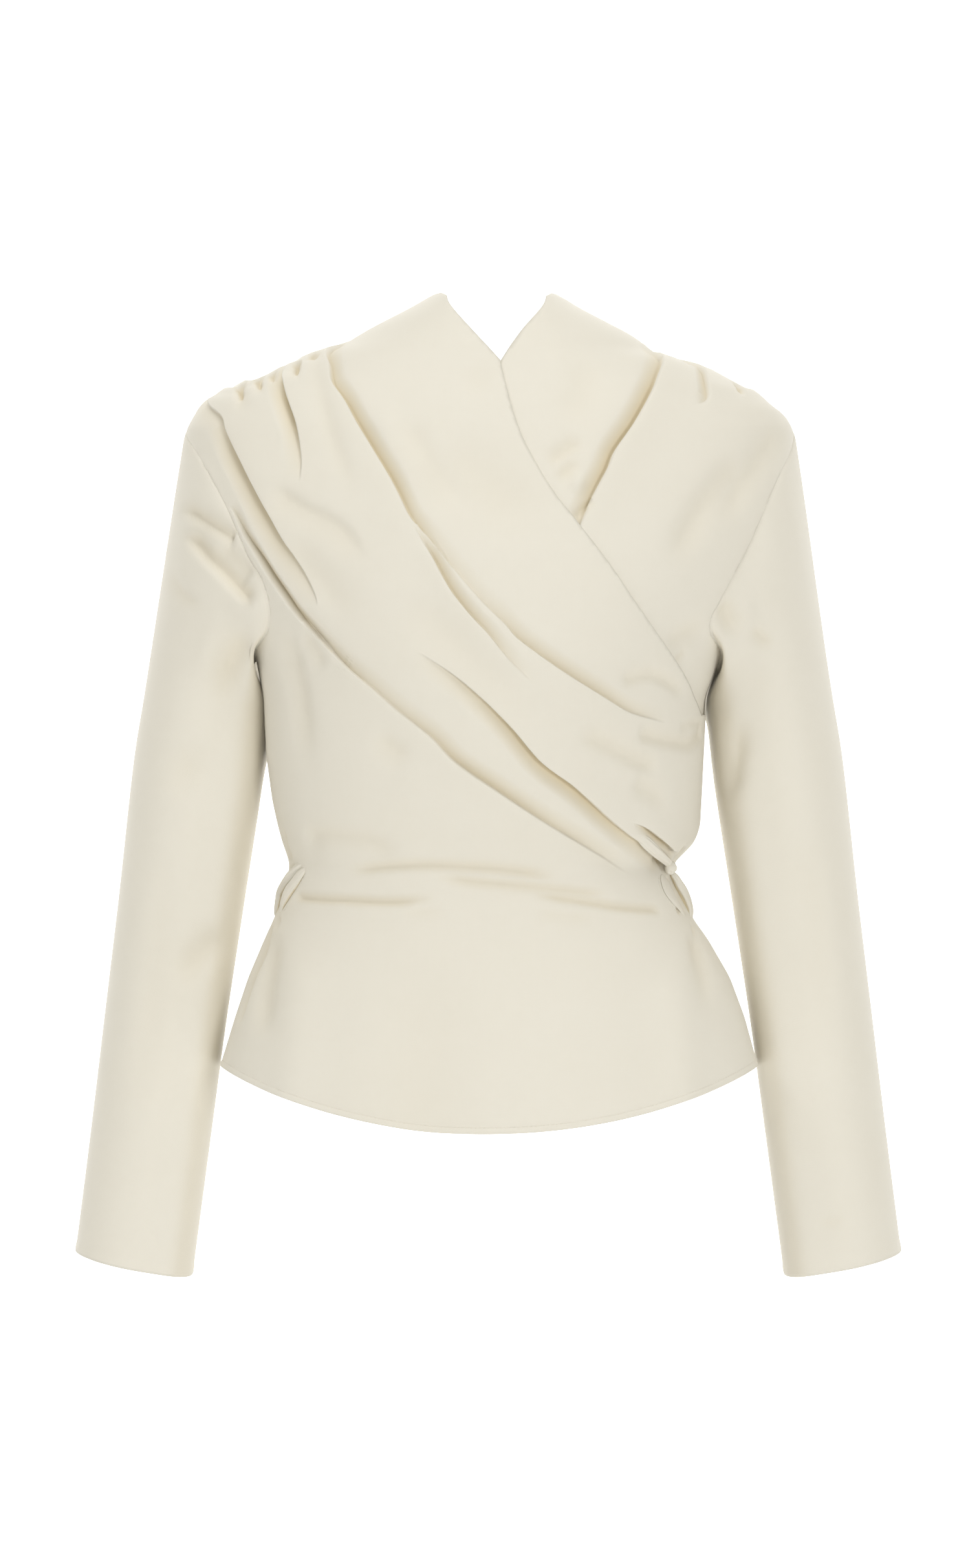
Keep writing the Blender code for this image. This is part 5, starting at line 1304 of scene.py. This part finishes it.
def sew(name, line, normals, closed=False):
    """A row of stitches along a line of places on the cloth."""
    length = np.concatenate([[0], np.cumsum(np.linalg.norm(np.diff(line, axis=0), axis=1))])
    count = int(length[-1] // (STITCH + STITCH_APART))
    pitch = length[-1] / count if closed else STITCH + STITCH_APART
    points, faces = [], []
    turn = np.linspace(0, 2 * np.pi, THREAD_SIDES, endpoint=False)
    for number in range(count):
        rings = []
        for share, lift, size in STITCH_FORM:
            mark = number * pitch + share * STITCH
            place = np.array([np.interp(mark, length, line[:, k]) for k in range(3)])
            normal = np.array([np.interp(mark, length, normals[:, k]) for k in range(3)])
            ahead = np.array([np.interp(mark + 0.5, length, line[:, k]) for k in range(3)]) \
                - np.array([np.interp(mark - 0.5, length, line[:, k]) for k in range(3)])
            across = np.cross(normal, ahead)
            across /= np.linalg.norm(across)
            rings.append(place + normal * lift + (np.cos(turn)[:, None] * across
                                                  + np.sin(turn)[:, None] * normal) * THREAD * size)
        rings = np.array(rings)
        start = len(points)
        points += rings.reshape(-1, 3).tolist()
        faces += [tuple(start + corner for corner in face) for face in closed_tube(rings)]
    new_piece(name, points, faces, THREAD_CLOTH)


for name, panel in (("hem_stitches_front", RIGHT_FRONT), ("hem_stitches_back", BACK)):
    sew(name, *cloth_points(panel, hem_line(panel.face, panel.hem, HEM_STITCH)[1:-1])[:2])


def cuff_line(sleeve):
    """Places and normals of the stitches round a cuff."""
    points, normals, above = [values[::-1] for values in sleeve]
    return [np.array([[np.interp(CUFF_STITCH, above[:, k], grid[:, k, axis]) for axis in range(3)]
                      for k in (*range(SLEEVE_COLUMNS), 0)]) for grid in (points, normals)]


sew("cuff_stitches_right", *cuff_line(right_sleeve), closed=True)
sew("cuff_stitches_left", *cuff_line(left_sleeve), closed=True)

SlitSeam = namedtuple("SlitSeam", "name route")
SLIT_SEAMS = (
    SlitSeam("slit_stitches_left",
             ((114.8, -331.5), (115.3, -338), (119.3, -344.5), (125.3, -352.5), (131.5, -359.5))),
    SlitSeam("slit_stitches_right_upper", ((-124, -330), (-128, -337), (-131, -341))),
    SlitSeam("slit_stitches_right_lower", ((-135.5, -351), (-139.5, -357))),
)
for seam in SLIT_SEAMS:
    sew(seam.name, *cloth_points(RIGHT_FRONT, smooth_path(unroll(-1, seam.route), 1.0))[:2])

# ---------------------------------------------------------------------------------------------
# Studio
# A pale floor, a backdrop that sweeps up behind the top, soft lights above it, at its side and in
# front, and a level camera.
# ---------------------------------------------------------------------------------------------
# All sizes in this section are in metres.
FLOOR = -0.95
FLOOR_START = -6.0
FLOOR_END = 1.2         # the floor sweeps up from here
SWEEP = 1.5             # with this radius
SWEEP_POINTS = 12
BACKDROP_TOP = 4.0
STAGE_HALF = 5.0        # half the stage's width
LIT_MIDDLE = Vector((0, 0, -0.25))      # the lights look at this place
CAMERA_PLACE = (0.00044, -5.0, -0.26906)
FRAME_HEIGHT = 1.0661   # height of the frame at the origin's distance
SENSOR = 36.0           # the camera's sensor, in millimetres


def pale_stage(name, profile, glow):
    """A wide pale sheet along a profile of places back and up, with a glow of its own. Seen from
    behind it is clear, so that the top's back can be viewed."""
    points = [(x, y, z) for x in (-STAGE_HALF, STAGE_HALF) for y, z in profile]
    count = len(profile)
    faces = [(k, k + count, k + 1 + count, k + 1) for k in range(count - 1)]
    mesh = bpy.data.meshes.new(name)
    mesh.from_pydata(points, [], faces)
    mesh.shade_smooth()
    sheet = bpy.data.objects.new(name, mesh)
    bpy.context.scene.collection.objects.link(sheet)
    material = bpy.data.materials.new(name)
    material.use_nodes = True
    tree = material.node_tree
    shader = tree.nodes["Principled BSDF"]
    shader.inputs["Base Color"].default_value = (0.93, 0.93, 0.93, 1.0)
    shader.inputs["Roughness"].default_value = 0.9
    shader.inputs["Specular IOR Level"].default_value = 0.1
    shader.inputs["Emission Color"].default_value = (1.0, 1.0, 1.0, 1.0)
    shader.inputs["Emission Strength"].default_value = glow
    side = tree.nodes.new("ShaderNodeNewGeometry")
    clear = tree.nodes.new("ShaderNodeBsdfTransparent")
    one_sided = tree.nodes.new("ShaderNodeMixShader")
    tree.links.new(side.outputs["Backfacing"], one_sided.inputs["Fac"])
    tree.links.new(shader.outputs["BSDF"], one_sided.inputs[1])
    tree.links.new(clear.outputs["BSDF"], one_sided.inputs[2])
    tree.links.new(one_sided.outputs["Shader"], tree.nodes["Material Output"].inputs["Surface"])
    mesh.materials.append(material)


curve = [(FLOOR_END + SWEEP * math.sin(turn), FLOOR + SWEEP - SWEEP * math.cos(turn))
         for turn in np.linspace(0, math.pi / 2, SWEEP_POINTS)]
pale_stage("floor", [(FLOOR_START, FLOOR), (FLOOR_END, FLOOR)], 0.09)
pale_stage("backdrop", [*curve, (FLOOR_END + SWEEP, BACKDROP_TOP)], 1.0)

world = bpy.data.worlds.new("studio")
bpy.context.scene.world = world
world.use_nodes = True
world.node_tree.nodes["Background"].inputs["Color"].default_value = (1.0, 0.965, 0.86, 1.0)
world.node_tree.nodes["Background"].inputs["Strength"].default_value = 0.37
bpy.context.scene.view_settings.view_transform = "Standard"


def soft_light(name, place, size, power):
    """A large square light that looks at the top."""
    data = bpy.data.lights.new(name, "AREA")
    data.size = size
    data.energy = power
    light = bpy.data.objects.new(name, data)
    light.location = place
    light.rotation_euler = (LIT_MIDDLE - light.location).to_track_quat("-Z", "Y").to_euler()
    bpy.context.scene.collection.objects.link(light)


soft_light("overhead_softbox", (0.0, -1.2, 3.4), 2.6, 68)
soft_light("right_softbox", (-3.2, -2.4, 2.2), 1.4, 25)
soft_light("front_softbox", (2.0, -4.6, -0.2), 1.2, 56)

camera_data = bpy.data.cameras.new("camera")
camera_data.sensor_width = SENSOR
camera_data.lens = SENSOR * -CAMERA_PLACE[1] / FRAME_HEIGHT
camera = bpy.data.objects.new("camera", camera_data)
camera.location = CAMERA_PLACE
camera.rotation_euler = (math.pi / 2, 0, 0)
bpy.context.scene.collection.objects.link(camera)
bpy.context.scene.camera = camera
